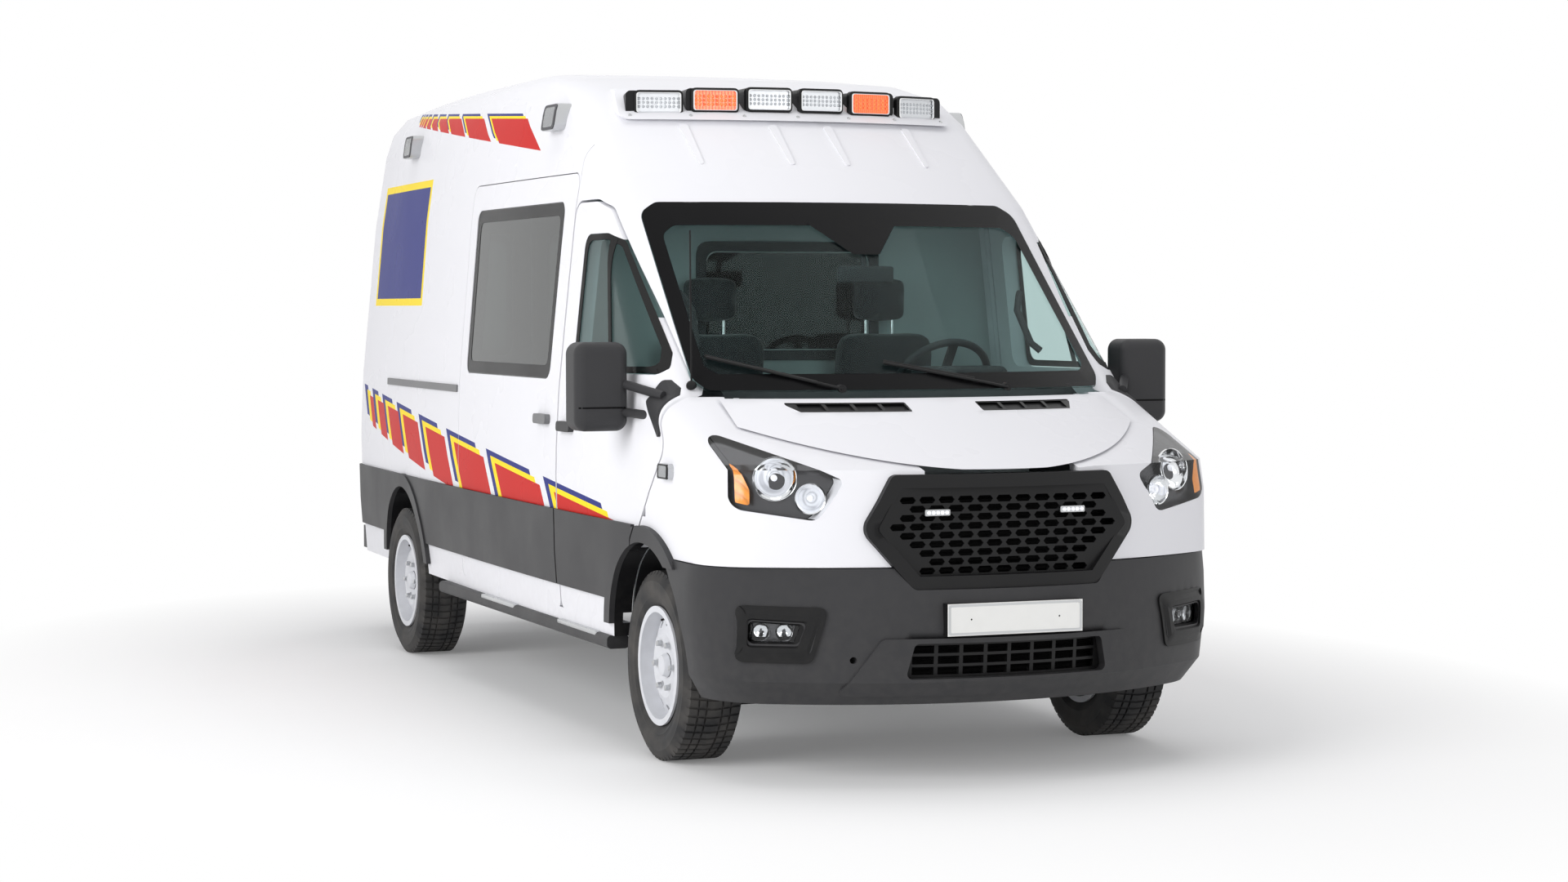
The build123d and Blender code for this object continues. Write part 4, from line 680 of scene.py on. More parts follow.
def shade_by_angle(thing):
    """Smooth shading that stays sharp at real edges, by a modifier."""
    name = "Panel shading"
    tree = bpy.data.node_groups.get(name)
    if tree is None:
        tree = bpy.data.node_groups.new(name, "GeometryNodeTree")
        tree.interface.new_socket("Geometry", in_out="INPUT", socket_type="NodeSocketGeometry")
        tree.interface.new_socket("Geometry", in_out="OUTPUT", socket_type="NodeSocketGeometry")
        steps = [tree.nodes.new(kind) for kind in (
            "NodeGroupInput", "GeometryNodeRemoveAttribute", "GeometryNodeMergeByDistance",
            "GeometryNodeSetShadeSmooth", "GeometryNodeSetShadeSmooth", "NodeGroupOutput")]
        _, plain, welded, _, creased, _ = steps
        edge = tree.nodes.new("GeometryNodeInputMeshEdgeAngle")
        sharp = tree.nodes.new("FunctionNodeCompare")
        sharp.data_type, sharp.operation = "FLOAT", "GREATER_THAN"
        sharp.inputs[1].default_value = SHARP_EDGE
        tree.links.new(edge.outputs[0], sharp.inputs[0])
        plain.inputs["Name"].default_value = "custom_normal"
        welded.inputs["Distance"].default_value = WELD_REACH
        creased.domain = "EDGE"
        creased.inputs["Shade Smooth"].default_value = False
        tree.links.new(sharp.outputs[0], creased.inputs["Selection"])
        for first, second in zip(steps, steps[1:]):
            tree.links.new(first.outputs[0], second.inputs[0])
    modifier = thing.modifiers.new(name, "NODES")
    modifier.node_group = tree


PATCH_EDGE = 0.03
PATCH_CUTS = 3


def patch(name, corners, look, skin, lift, finish, body="root", slot=None, thick=0.0):
    """A filled outline laid on a skin, with edges cut short so that it follows the skin."""
    mesh = bmesh.new()
    outline = spread(rounded(corners), 2)
    face = mesh.faces.new([mesh.verts.new((point.x, point.y, 0)) for point in outline])
    bmesh.ops.triangulate(mesh, faces=[face])
    for _ in range(PATCH_CUTS):
        long_edges = [edge for edge in mesh.edges if edge.calc_length() > PATCH_EDGE]
        if long_edges:
            bmesh.ops.subdivide_edges(mesh, edges=long_edges, cuts=1)
            bmesh.ops.triangulate(mesh, faces=mesh.faces[:])
    for vertex in mesh.verts:
        vertex.co = seated(skin, look, vertex.co.x, vertex.co.y, lift)
    bmesh.ops.recalc_face_normals(mesh, faces=mesh.faces)
    thing = piece(name, mesh, finish, body, slot)
    if thick:
        thicken(thing, thick)
    return thing


def thicken(thing, thick):
    """Gives a sheet a thickness, half of it on each side, before its edges are shaded."""
    modifier = thing.modifiers.new("Thickness", "SOLIDIFY")
    modifier.thickness = thick
    modifier.offset = 0.0
    thing.modifiers.move(len(thing.modifiers) - 1, 0)


def band(name, outer, inner, look, skin, lift, finish, body="root", slot=None, rows=2, pieces=6, thick=0.0):
    """A ring between two outlines with matching corners, laid on a skin."""
    first, second = spread(rounded(outer), pieces), spread(rounded(inner), pieces)
    rings = [[seated(skin, look, *start.lerp(stop, row / rows), lift) for start, stop in zip(first, second)]
             for row in range(rows + 1)]
    thing = piece(name, skinned(rings), finish, body, slot)
    if thick:
        thicken(thing, thick)
    return thing


def soft_box(centre, extent, radius, segments=3, turn=None):
    """A box with rounded edges, as a bmesh."""
    mesh = bmesh.new()
    bmesh.ops.create_cube(mesh, size=1.0)
    bmesh.ops.scale(mesh, vec=extent, verts=mesh.verts)
    bmesh.ops.bevel(mesh, geom=mesh.edges[:], offset=radius, segments=segments, profile=0.5, affect="EDGES")
    if turn is not None:
        bmesh.ops.transform(mesh, matrix=turn, verts=mesh.verts)
    bmesh.ops.translate(mesh, vec=centre, verts=mesh.verts)
    return mesh


def swept(points, radius, sides=12, flat=1.0):
    """A bar of round or flattened section through some points."""
    path = [Vector(point) for point in points]
    angles = [2 * pi * k / sides for k in range(sides)]
    rings, side = [], None
    for index, here in enumerate(path):
        ahead = (path[min(index + 1, len(path) - 1)] - path[max(index - 1, 0)]).normalized()
        side = ahead.orthogonal() if side is None else side - ahead * side.dot(ahead)
        side.normalize()
        over = ahead.cross(side) * flat
        rings.append([here + (side * cos(turn) + over * sin(turn)) * radius for turn in angles])
    return skinned(rings, closed_ends=True)


def skinned(rings, closed_ends=False, closed_loop=False):
    """Vertices and faces through rings of equal count."""
    count = len(rings[0])
    points = [point for ring in rings for point in ring]
    faces = []
    for row in range(len(rings) if closed_loop else len(rings) - 1):
        below, above = row * count, (row + 1) % len(rings) * count
        for here in range(count):
            ahead = (here + 1) % count
            faces.append((below + here, below + ahead, above + ahead, above + here))
    if closed_ends:
        faces += [tuple(reversed(range(count))), tuple(range(len(points) - count, len(points)))]
    return points, faces


TIP_RADIUS = 0.00005


def turned(profile, centre, axis, steps=48):
    """A body turned about an axis through a centre, from radius and offset along the axis."""
    axis = Vector(axis).normalized()
    side = axis.orthogonal().normalized()
    over = axis.cross(side)
    angles = [2 * pi * k / steps for k in range(steps)]
    spokes = [side * cos(turn) + over * sin(turn) for turn in angles]
    return skinned([[Vector(centre) + axis * offset + spoke * max(radius, TIP_RADIUS) for spoke in spokes]
                    for radius, offset in profile])


class AmbulanceOperator:
    """What all the operators share."""

    bl_options = {"REGISTER", "UNDO"}

    def execute(self, context):
        self.build()
        return {"FINISHED"}


class AMBULANCE_OT_finishes(AmbulanceOperator, bpy.types.Operator):
    """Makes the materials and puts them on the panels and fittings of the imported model."""

    bl_idname = "ambulance.finishes"
    bl_label = "Panels and fittings"

    def build(self):
        make_materials()
        for row in frame["record"]["subparts"]:
            thing = frame["nodes"][row["node"]]
            thing.data.materials.clear()
            thing.data.materials.append(MATERIALS[row["material_slot"]])
            shade_by_angle(thing)


def wheel_centre(end, turn):
    """Middle of a wheel, from its tyre."""
    low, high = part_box(f"tyre_{end}_{'left' if turn > 0 else 'right'}")
    return (low + high) / 2


# Tyre section from bead to tread middle: radius, offset from the middle of the tyre
TYRE_WALL = ((0.206, 0.088), (0.222, 0.092), (0.238, 0.103), (0.250, 0.1085), (0.254, 0.1105),
             (0.258, 0.1095), (0.275, 0.1145), (0.292, 0.1165), (0.308, 0.1150), (0.314, 0.1160),
             (0.320, 0.1125), (0.336, 0.1050), (0.3445, 0.0985))
# Tread ribs: inner and outer offset of each rib on one side of the middle
TREAD_RIBS = ((0.0965, 0.0655), (0.0575, 0.0345), (0.0265, 0.0))
TREAD_RADIUS = 0.3515
# Both lower edges of a groove, as offset from the rib's edge
GROOVE_EDGES = (0.0012, 0.0068)
# One tread block and the sipe after it: share of the way to the next block, share of the sipe's depth
BLOCK_STEPS = ((0.0, 0.0), (0.70, 0.0), (0.73, 1.0), (0.97, 1.0))
# Share of a block by which the tread runs back at an offset from its middle
BLOCK_SKEW = 0.35
SKEW_OFFSET = 0.1
SIPE_SHARE = 0.75
SHOULDER_SHARE = 0.5


class AMBULANCE_OT_tyres(AmbulanceOperator, bpy.types.Operator):
    """Tyres with moulded side walls and block tread."""

    bl_idname = "ambulance.tyres"
    bl_label = "Tyres"

    def section(self):
        """Radius, offset and how far a sipe cuts each point, from the inner bead to the outer one."""
        groove = settings("tyre").groove
        half = [(radius, offset, 0.0) for radius, offset in TYRE_WALL]
        half[-1] = (*half[-1][:2], SHOULDER_SHARE)
        for outer, inner in TREAD_RIBS:
            half += [(TREAD_RADIUS, outer, 1.0), (TREAD_RADIUS, inner, 1.0)]
            if inner:
                half += [(TREAD_RADIUS - groove, inner - edge, 0.0) for edge in GROOVE_EDGES]
        return half + [(radius, -offset, cut) for radius, offset, cut in reversed(half[:-1])]

    def ring(self, centre, radius, offset, depth):
        """The ring that one point of the section runs through, dipping into each sipe."""
        tyre = settings("tyre")
        skew = BLOCK_SKEW * abs(offset) / SKEW_OFFSET
        points = []
        for block in range(tyre.blocks):
            for share, cut in BLOCK_STEPS:
                turn = 2 * pi * (block + share + skew) / tyre.blocks
                reach = radius - depth * cut * tyre.groove * SIPE_SHARE
                points.append(centre + Vector((offset, reach * sin(turn), reach * cos(turn))))
        return points

    def build(self):
        section = self.section()
        for end in ENDS:
            for turn, side in SIDES:
                centre = wheel_centre(end, turn)
                rings = [self.ring(centre, *point) for point in section]
                thing = piece(f"tyre_tread_{end}_{side}", skinned(rings, closed_loop=True), "tyre_rubber",
                              f"wheel_{end}_{side}", "tyre_rubber")
                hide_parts(f"tyre_{end}_{side}")


class AMBULANCE_OT_wheel_fittings(AmbulanceOperator, bpy.types.Operator):
    """Centre caps, wheel nuts and valves."""

    bl_idname = "ambulance.wheel_fittings"
    bl_label = "Wheel fittings"

    # sections of the cap and of a nut: radius, distance out from the middle of the wheel
    cap = ((0.0, 0.096), (0.022, 0.095), (0.036, 0.090), (0.041, 0.082), (0.0435, 0.068))
    nut = ((0.0, 0.094), (0.008, 0.094), (0.0115, 0.090), (0.0115, 0.076), (0.016, 0.075), (0.016, 0.070))
    nuts = 6
    nut_ring = 0.090
    # points of the valve: out and up from the middle of the wheel
    valve = ((0.050, 0.180), (0.072, 0.174), (0.090, 0.168))
    valve_radius = 0.0045

    def build(self):
        turns = [2 * pi * (number + 0.5) / self.nuts for number in range(self.nuts)]
        ring = [Vector((0, sin(about), cos(about))) * self.nut_ring for about in turns]
        for end in ENDS:
            for turn, side in SIDES:
                body, centre = f"wheel_{end}_{side}", wheel_centre(end, turn)
                out = Vector((turn, 0, 0))
                piece(f"centre_cap_{end}_{side}", turned(self.cap, centre, out), "wheel_paint", body,
                      "wheel_paint")
                nuts = [turned(self.nut, centre + place, out, 6) for place in ring]
                piece(f"wheel_nuts_{end}_{side}", joined(nuts), "steel", body, "wheel_paint")
                path = [centre + Vector((turn * offset, 0, rise)) for offset, rise in self.valve]
                piece(f"valve_{end}_{side}", swept(path, self.valve_radius, 10), "seal", body, "tyre_rubber")


# Outlines shared with the body: across and height, or station and height, with the corner radius
WINDSCREEN = ((-0.800, 1.364, 0.04), (-0.838, 1.405, 0.04), (-0.806, 2.045, 0.06), (-0.740, 2.086, 0.06),
              (0.740, 2.086, 0.06), (0.806, 2.045, 0.06), (0.838, 1.405, 0.04), (0.800, 1.364, 0.04))
SCREEN_CLEAR = ((-0.745, 1.425, 0.03), (-0.780, 1.450, 0.03), (-0.752, 1.955, 0.05), (-0.700, 1.990, 0.05),
                (0.700, 1.990, 0.05), (0.752, 1.955, 0.05), (0.780, 1.450, 0.03), (0.745, 1.425, 0.03))
SENSOR_PATCH = ((-0.19, 2.0, 0.0), (0.19, 2.0, 0.0), (0.055, 1.875, 0.02), (-0.055, 1.875, 0.02))
SIDE_WINDOW = (2.255, 3.555, 1.385, 2.105)
SIDE_BORDER = 0.055
CAB_WINDOW = ((1.080, 1.425, 0.02), (1.140, 1.500, 0.06), (1.630, 1.935, 0.09), (1.720, 1.965, 0.06),
              (1.955, 1.965, 0.06), (1.955, 1.425, 0.06))
QUARTER_BAR = ((1.485, 1.440, 0.0), (1.517, 1.440, 0.0), (1.692, 1.940, 0.0), (1.660, 1.940, 0.0))
REAR_WINDOW = ((0.090, 1.420, 0.05), (0.090, 2.060, 0.05), (0.590, 2.060, 0.05), (0.650, 1.420, 0.05))


def scaled(corners, share):
    """Corners drawn in towards their middle."""
    middle = sum((Vector(corner[:2]) for corner in corners), Vector((0, 0))) / len(corners)
    points = [middle + (Vector(corner[:2]) - middle) * share for corner in corners]
    return [(point.x, point.y, corner[2] * share) for point, corner in zip(points, corners)]


def on_side(corners, turn):
    """Corners given for the vehicle's left, on one of its sides."""
    return [(turn * across, height, radius) for across, height, radius in corners]


def by_station(corners):
    """Side corners with frame Y for their station."""
    return [(at(station), height, radius) for station, height, radius in corners]


def flat_face(outline, place):
    """A filled outline in the local XZ plane, placed by a matrix, as a bmesh."""
    mesh = bmesh.new()
    face = mesh.faces.new([mesh.verts.new(place @ Vector((point.x, 0, point.y))) for point in outline])
    bmesh.ops.triangulate(mesh, faces=[face])
    return mesh


def joined(shapes):
    """Several sets of vertices and faces as one."""
    points, faces = [], []
    for more, rows in shapes:
        faces += [tuple(len(points) + index for index in row) for row in rows]
        points += more
    return points, faces


# Faces of a lamp that look less forward than this are left out of its lens
FORWARD_FACING = 0.03
SEAM_REACH = 1e-5
TRAY_GAP = 0.003


def front_faces(node, inward=0.0):
    """The faces of a CAD node that look forward, drawn in along their normals, as a bmesh."""
    thing = frame["nodes"][node]
    mesh = bmesh.new()
    mesh.from_mesh(thing.data)
    mesh.transform(thing.matrix_world)
    others = [face for face in mesh.faces if face.normal.y > -FORWARD_FACING]
    bmesh.ops.delete(mesh, geom=others, context="FACES")
    bmesh.ops.remove_doubles(mesh, verts=mesh.verts, dist=SEAM_REACH)
    mesh.normal_update()
    for vertex in mesh.verts:
        vertex.co -= vertex.normal * inward
    return mesh


def lamp_body(name, node, lens, depth):
    """Lens over the front of a lamp node, and the dark tray behind it."""
    cover = piece(f"{name}_lens", front_faces(node), lens, slot="lamp_clear")
    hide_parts(node)
    back = Vector((0, depth, 0))
    walls = front_faces(node, TRAY_GAP)
    faces = list(walls.faces)
    rim = [edge for edge in walls.edges if edge.is_boundary]
    added = bmesh.ops.extrude_edge_only(walls, edges=rim)["geom"]
    for vertex in (item for item in added if isinstance(item, bmesh.types.BMVert)):
        vertex.co += back
    bmesh.ops.delete(walls, geom=faces, context="FACES_ONLY")
    piece(f"{name}_tray", walls, "chrome_dark", slot="black_plastic")
    floor = front_faces(node, TRAY_GAP)
    floor.transform(Matrix.Translation(back))
    piece(f"{name}_back", floor, "chrome_dark", slot="black_plastic")


class AMBULANCE_OT_glass_borders(AmbulanceOperator, bpy.types.Operator):
    """Dark printed borders and seals round the windows, and the wiper blades."""

    bl_idname = "ambulance.glass_borders"
    bl_label = "Glass borders"

    # how far the borders stand off the glass; the windscreen is coarser than the flat panes
    screen_lift = 0.005
    pane_lift = 0.0015
    # wiper blades: where each starts and ends, as across and height
    blades = {"right": ((-0.42, 1.392), (-0.765, 1.488)), "left": ((0.20, 1.400), (-0.14, 1.466))}
    blade_lift = 0.010
    blade_radius = 0.007
    blade_steps = 8

    def build(self):
        screen = skin_of("windscreen")
        band("screen_border", scaled(WINDSCREEN, 0.995), SCREEN_CLEAR, "front", screen, self.screen_lift,
             "frit", slot="black_plastic", rows=3)
        patch("sensor_patch", SENSOR_PATCH, "front", screen, self.screen_lift + 0.0005, "frit",
              slot="black_plastic")
        for name, (start, tip) in self.blades.items():
            shares = [step / self.blade_steps for step in range(self.blade_steps + 1)]
            path = [seated(screen, "front", *Vector(start).lerp(Vector(tip), share), self.blade_lift)
                    for share in shares]
            piece(f"wiper_blade_{name}", swept(path, self.blade_radius, 10, 0.6), "seal",
                  slot="black_plastic")
        glass = skin_of("fixed_glass")
        for turn, side in SIDES:
            outer = self.side_outline(0.004, 0.05)
            inner = self.side_outline(SIDE_BORDER, 0.04)
            band(f"side_window_border_{side}", outer, inner, side, glass, self.pane_lift, "frit",
                 slot="black_plastic")
            door, pane = f"cab_door_{side}", skin_of(f"cab_glass_{side}")
            window = by_station(CAB_WINDOW)
            band(f"cab_window_seal_{side}", scaled(window, 0.99), scaled(window, 0.90), side, pane, 0.002,
                 "seal", door, "black_plastic", thick=0.004)
            patch(f"quarter_light_bar_{side}", by_station(QUARTER_BAR), side, pane, 0.003, "seal", door,
                  "black_plastic", thick=0.005)
            pane, window = skin_of(f"rear_glass_{side}"), on_side(REAR_WINDOW, turn)
            band(f"rear_window_border_{side}", scaled(window, 0.985), scaled(window, 0.88), "rear", pane,
                 self.pane_lift, "frit", f"rear_door_{side}", "black_plastic")

    def side_outline(self, edge, radius):
        """The side window drawn in by an edge."""
        front, rear, low, high = SIDE_WINDOW
        return rectangle(at(front + edge), at(rear - edge), low + edge, high - edge, radius)


class AMBULANCE_OT_headlamps(AmbulanceOperator, bpy.types.Operator):
    """Headlamps: clear lens, dark tray, two plated bowls with bulbs and the amber marker."""

    bl_idname = "ambulance.headlamps"
    bl_label = "Headlamps"

    # bowls: across, height, radius, depth behind the lens
    bowls = ((0.800, 1.085, 0.074, 0.045), (0.690, 1.015, 0.050, 0.035))
    # section of a bulb: radius, distance in front of the bowl's middle
    bulb = ((0.0, 0.002), (0.010, -0.004), (0.012, -0.020), (0.012, -0.042))
    outward = 0.35
    tray_depth = 0.09
    marker = ((0.922, 0.996, 0.008), (0.915, 1.150, 0.008), (0.876, 1.040, 0.01), (0.880, 0.986, 0.008))
    marker_depth = 0.006

    def bowl(self, radius):
        """Section of a bowl with a narrow rim: radius, distance in front of its middle."""
        return [(0.012, -0.040), (radius * 0.5, -0.032), (radius * 0.8, -0.014), (radius, 0.008),
                (radius + 0.004, 0.010), (radius + 0.004, 0.0)]

    def build(self):
        skin = skin_of("headlamps")
        lamp_body("headlamp", "headlamps", "lamp_clear", self.tray_depth)
        for turn, side in SIDES:
            bowls, bulbs = [], []
            aim = Vector((turn * self.outward, -1, 0)).normalized()
            for across, height, radius, depth in self.bowls:
                centre = seated(skin, "front", turn * across, height, -depth)
                bowls.append(turned(self.bowl(radius), centre, aim))
                bulbs.append(turned(self.bulb, centre, aim, 20))
            piece(f"headlamp_bowls_{side}", joined(bowls), "chrome", slot="lamp_clear")
            piece(f"headlamp_bulbs_{side}", joined(bulbs), "led", slot="lamp_clear")
            patch(f"turn_marker_{side}", on_side(self.marker, turn), "front", skin, -self.marker_depth,
                  "amber", slot="lamp_clear")


class AMBULANCE_OT_fog_lamps(AmbulanceOperator, bpy.types.Operator):
    """Fog lamps: clear lens over a plated bowl in a dark tray."""

    bl_idname = "ambulance.fog_lamps"
    bl_label = "Fog lamps"

    surround = ((0.918, 0.440, 0.03), (0.918, 0.640, 0.03), (0.640, 0.634, 0.03), (0.690, 0.438, 0.03))
    opening = ((0.884, 0.510, 0.015), (0.884, 0.582, 0.015), (0.722, 0.572, 0.012), (0.742, 0.510, 0.012))
    # section of a bowl: radius, distance in front of its middle
    bowl = ((0.006, -0.020), (0.018, -0.012), (0.029, 0.002), (0.031, 0.003), (0.031, -0.004))
    across = (0.775, 0.845)
    height = 0.543
    bowl_depth = 0.022
    tray_depth = 0.05
    outward = 0.4

    def build(self):
        skin = skin_of("fog_lamps")
        lamp_body("fog_lamp", "fog_lamps", "fluted", self.tray_depth)
        bumper = skin_of("front_bumper", "fog_lamps")
        for turn, side in SIDES:
            outer, inner = on_side(self.surround, turn), on_side(self.opening, turn)
            band(f"fog_surround_{side}", outer, inner, "front", bumper, 0.006, "black_plastic",
                 slot="black_plastic", rows=4, thick=0.006)
            aim = Vector((turn * self.outward, -1, 0)).normalized()
            places = [seated(skin, "front", turn * across, self.height, -self.bowl_depth)
                      for across in self.across]
            bowls = [turned(self.bowl, place, aim, 36) for place in places]
            piece(f"fog_bowls_{side}", joined(bowls), "chrome", slot="lamp_clear")


class AMBULANCE_OT_grille(AmbulanceOperator, bpy.types.Operator):
    """Cooler behind the grille and the two small lamps in it."""

    bl_idname = "ambulance.grille"
    bl_label = "Grille"

    # coolers: half width, low, high, station; the second one lies behind the lower air opening
    coolers = ((0.47, 0.725, 1.060, 0.168), (0.375, 0.370, 0.510, 0.150))
    fin = 0.009
    fin_depth = 0.012
    # small lamps: across, station and height of the middle, and the size of the case
    lamp = (0.262, 0.088, 0.959)
    case = (0.098, 0.018, 0.026)
    # section of a light dome: radius, distance in front of the case
    dome = ((0.0, 0.006), (0.0055, 0.004), (0.0075, 0.0))
    dome_pitch = 0.017

    def fins(self, half, low, high, station):
        """A folded sheet across the air opening: vertices and faces."""
        count = int((high - low) / self.fin)
        points, faces = [], []
        for row in range(count + 1):
            y, z = at(station) + (row % 2) * self.fin_depth, low + (high - low) * row / count
            points += [Vector((x, y, z)) for x in (-half, -half / 3, half / 3, half)]
        for row in range(count):
            for first in range(4 * row, 4 * row + 3):
                faces.append((first, first + 1, first + 5, first + 4))
        return points, faces

    def build(self):
        sheets = [self.fins(*cooler) for cooler in self.coolers]
        piece("cooler", joined(sheets), "cooler", slot="black_plastic", smooth=False)
        across, station, height = self.lamp
        for turn, side in SIDES:
            centre = Vector((turn * across, at(station), height))
            piece(f"grille_lamp_{side}", soft_box(centre, self.case, 0.006), "steel", slot="lamp_clear")
            face = centre - Vector((0, self.case[1] / 2, 0))
            domes = [turned(self.dome, face + Vector((step * self.dome_pitch, 0, 0)), (0, -1, 0), 14)
                     for step in (-2, -1, 0, 1, 2)]
            piece(f"grille_leds_{side}", joined(domes), "led", slot="lamp_clear")


class AMBULANCE_OT_roof_lamps(AmbulanceOperator, bpy.types.Operator):
    """Six warning lamps across the forehead, with their screws, and the shallow ribs below them."""

    bl_idname = "ambulance.roof_lamps"
    bl_label = "Roof lamps"

    # lamps: across of each, which are lit, size, height and station of the middle ones, and how the row of
    # lamps droops and bows back to its ends
    across = (-0.568, -0.341, -0.114, 0.114, 0.341, 0.568)
    lit = (1, 4)
    width = 0.196
    height = 0.098
    middle = 2.524
    face = 2.092
    droop = 0.018
    bow = 2.350
    # how far the lamp's layers stand in front of the housing's face
    cells_depth = 0.008
    lens_depth = 0.0155
    # plated rim inside the bezel: share of the opening, depth
    rim = ((1.03, -0.0192), (0.97, -0.0205), (0.95, -0.014))
    # light cells: section as radius and height, and how they are set out
    cell = ((0.0, 0.005), (0.004, 0.004), (0.0065, 0.0))
    columns = 10
    rows = (-0.016, 0.0, 0.016)
    # plinth screws: section as radius and height, height on the forehead, across of each
    screw = ((0.0, 0.004), (0.005, 0.003), (0.008, 0.0))
    screw_height = 2.452
    screws = (-0.69, -0.45, -0.23, 0.0, 0.23, 0.45, 0.69)
    # forehead ribs: across of each, and half width, height and corner radius at both ends
    ribs = (-0.49, -0.12, 0.12, 0.49)
    rib_foot = (0.010, 2.245, 0.008)
    rib_head = (0.020, 2.415, 0.015)

    def build(self):
        frame["nodes"]["front_warning_lamps"].data.materials[0] = MATERIALS["black_plastic"]
        for number, across in enumerate(self.across):
            station = self.face + across * across / (2 * self.bow)
            height = self.middle - self.droop * (across / self.across[-1]) ** 2
            turn = Matrix.Rotation(across / self.bow, 4, "Z")
            self.lamp(number, Matrix.Translation((across, at(station), height)) @ turn)
        skin = skin_of("roof", "cab_frame")
        places = [seated(skin, "front", across, self.screw_height, 0.0) for across in self.screws]
        heads = [turned(self.screw, place, (0, -1, 0.4), 14) for place in places]
        piece("plinth_screws", joined(heads), "steel", slot="white_paint")
        (foot, low, foot_radius), (head, high, head_radius) = self.rib_foot, self.rib_head
        for number, across in enumerate(self.ribs):
            outline = [(across - foot, low, foot_radius), (across - head, high, head_radius),
                       (across + head, high, head_radius), (across + foot, low, foot_radius)]
            patch(f"forehead_rib_{number}", outline, "front", skin, 0.002, "white_paint", slot="white_paint",
                  thick=0.006)

    def lamp(self, number, place):
        """Bezel, rim, reflector, light cells and lens of one lamp."""
        bezel = settings("lamp").bezel
        half, rise = self.width / 2 + 0.002, self.height / 2 + 0.002
        outer = spread(rounded(rectangle(-half, half, -rise, rise, 0.022)), 2)
        half, rise = half - bezel, rise - bezel
        inner = spread(rounded(rectangle(-half, half, -rise, rise, 0.012)), 2)
        rings = [[place @ Vector((point.x, depth, point.y)) for point in ring]
                 for ring, depth in ((outer, 0.010), (outer, -0.012), (inner, -0.019), (inner, -0.004))]
        piece(f"lamp_bezel_{number}", skinned(rings), "black_plastic", slot="black_plastic")
        rim = [[place @ Vector((point.x * share, depth, point.y * share)) for point in inner]
               for share, depth in self.rim]
        piece(f"lamp_rim_{number}", skinned(rim), "chrome", slot="lamp_clear")
        lit = number in self.lit
        back = place @ Matrix.Translation((0, -self.cells_depth, 0))
        piece(f"lamp_reflector_{number}", flat_face(inner, back), "lit" if lit else "reflector",
              slot="lamp_clear", smooth=False)
        pitch, ahead = 2 * half / self.columns, place.to_3x3() @ Vector((0, -1, 0))
        cells = [turned(self.cell, back @ Vector((-half + (column + 0.5) * pitch, 0, row)), ahead, 10)
                 for column in range(self.columns) for row in self.rows]
        piece(f"lamp_leds_{number}", joined(cells), "lit" if lit else "led_off", slot="lamp_clear")
        front = place @ Matrix.Translation((0, -self.lens_depth, 0))
        piece(f"lamp_lens_{number}", flat_face(inner, front), "lamp_clear", slot="lamp_clear", smooth=False)


class AMBULANCE_OT_side_lamps(AmbulanceOperator, bpy.types.Operator):
    """Lenses and rims of the roof side lamps and of the markers on the wings."""

    bl_idname = "ambulance.side_lamps"
    bl_label = "Side lamps"

    # station, middle height, half length, half height and finish of the rim of each lamp
    lamps = ((2.511, 2.460, 0.085, 0.055, "cast_metal"), (4.979, 2.460, 0.085, 0.055, "cast_metal"),
             (0.771, 1.085, 0.055, 0.028, "black_plastic"))
    rim_share = 0.93
    lens_share = 0.74

    def outline(self, share, station, height, half, rise):
        """A lamp's outline, drawn in to a share of its size."""
        return rectangle(at(station - half * share), at(station + half * share), height - rise * share,
                         height + rise * share, 0.3 * rise)

    def build(self):
        skin = skin_of("side_lamps")
        frame["nodes"]["side_lamps"].data.materials[0] = MATERIALS["steel"]
        for _, side in SIDES:
            for number, (*lamp, rim) in enumerate(self.lamps):
                edge, opening = self.outline(self.rim_share, *lamp), self.outline(self.lens_share, *lamp)
                band(f"side_lamp_rim_{number}_{side}", edge, opening, side, skin, 0.002, rim,
                     slot="black_plastic", pieces=3, thick=0.004)
                patch(f"side_lamp_lens_{number}_{side}", opening, side, skin, 0.004, "fluted",
                      slot="lamp_clear")


class AMBULANCE_OT_mirrors(AmbulanceOperator, bpy.types.Operator):
    """Mirror glasses and the seams across the mirror heads."""

    bl_idname = "ambulance.mirrors"
    bl_label = "Mirrors"

    # glasses: both ends across, and low and high edge of each
    glass_across = (1.050, 1.217)
    glasses = {"main": (1.318, 1.530), "wide": (1.232, 1.306)}
    seam_across = (1.045, 1.225)
    seam = (1.300, 1.306)

    def build(self):
        for turn, side in SIDES:
            skin, door = skin_of(f"mirror_{side}"), f"cab_door_{side}"
            across = sorted(turn * end for end in self.glass_across)
            for name, heights in self.glasses.items():
                patch(f"mirror_glass_{name}_{side}", rectangle(*across, *heights, 0.02), "rear", skin, 0.002,
                      "mirror", door, "black_plastic", thick=0.003)
            across = sorted(turn * end for end in self.seam_across)
            patch(f"mirror_seam_{side}", rectangle(*across, *self.seam, 0.0), "front", skin, 0.001, "frit",
                  door, "black_plastic", thick=0.002)


# Pads: how square a pad is, how far its sides pull in, and its two sewn channels as share of the half width
PAD_POWER = 6
PAD_PULL = 0.03
CHANNEL_DEPTH = 0.012
CHANNEL_PLACE = 0.62
CHANNEL_WIDTH = 0.06
# Stuffing: size of the even skin's cells, frames, pressure and the furthest that a point may move
PAD_VOXEL = 0.008
PAD_FRAMES = 20
PAD_PRESSURE = 4.0
PAD_SWELL = 0.008


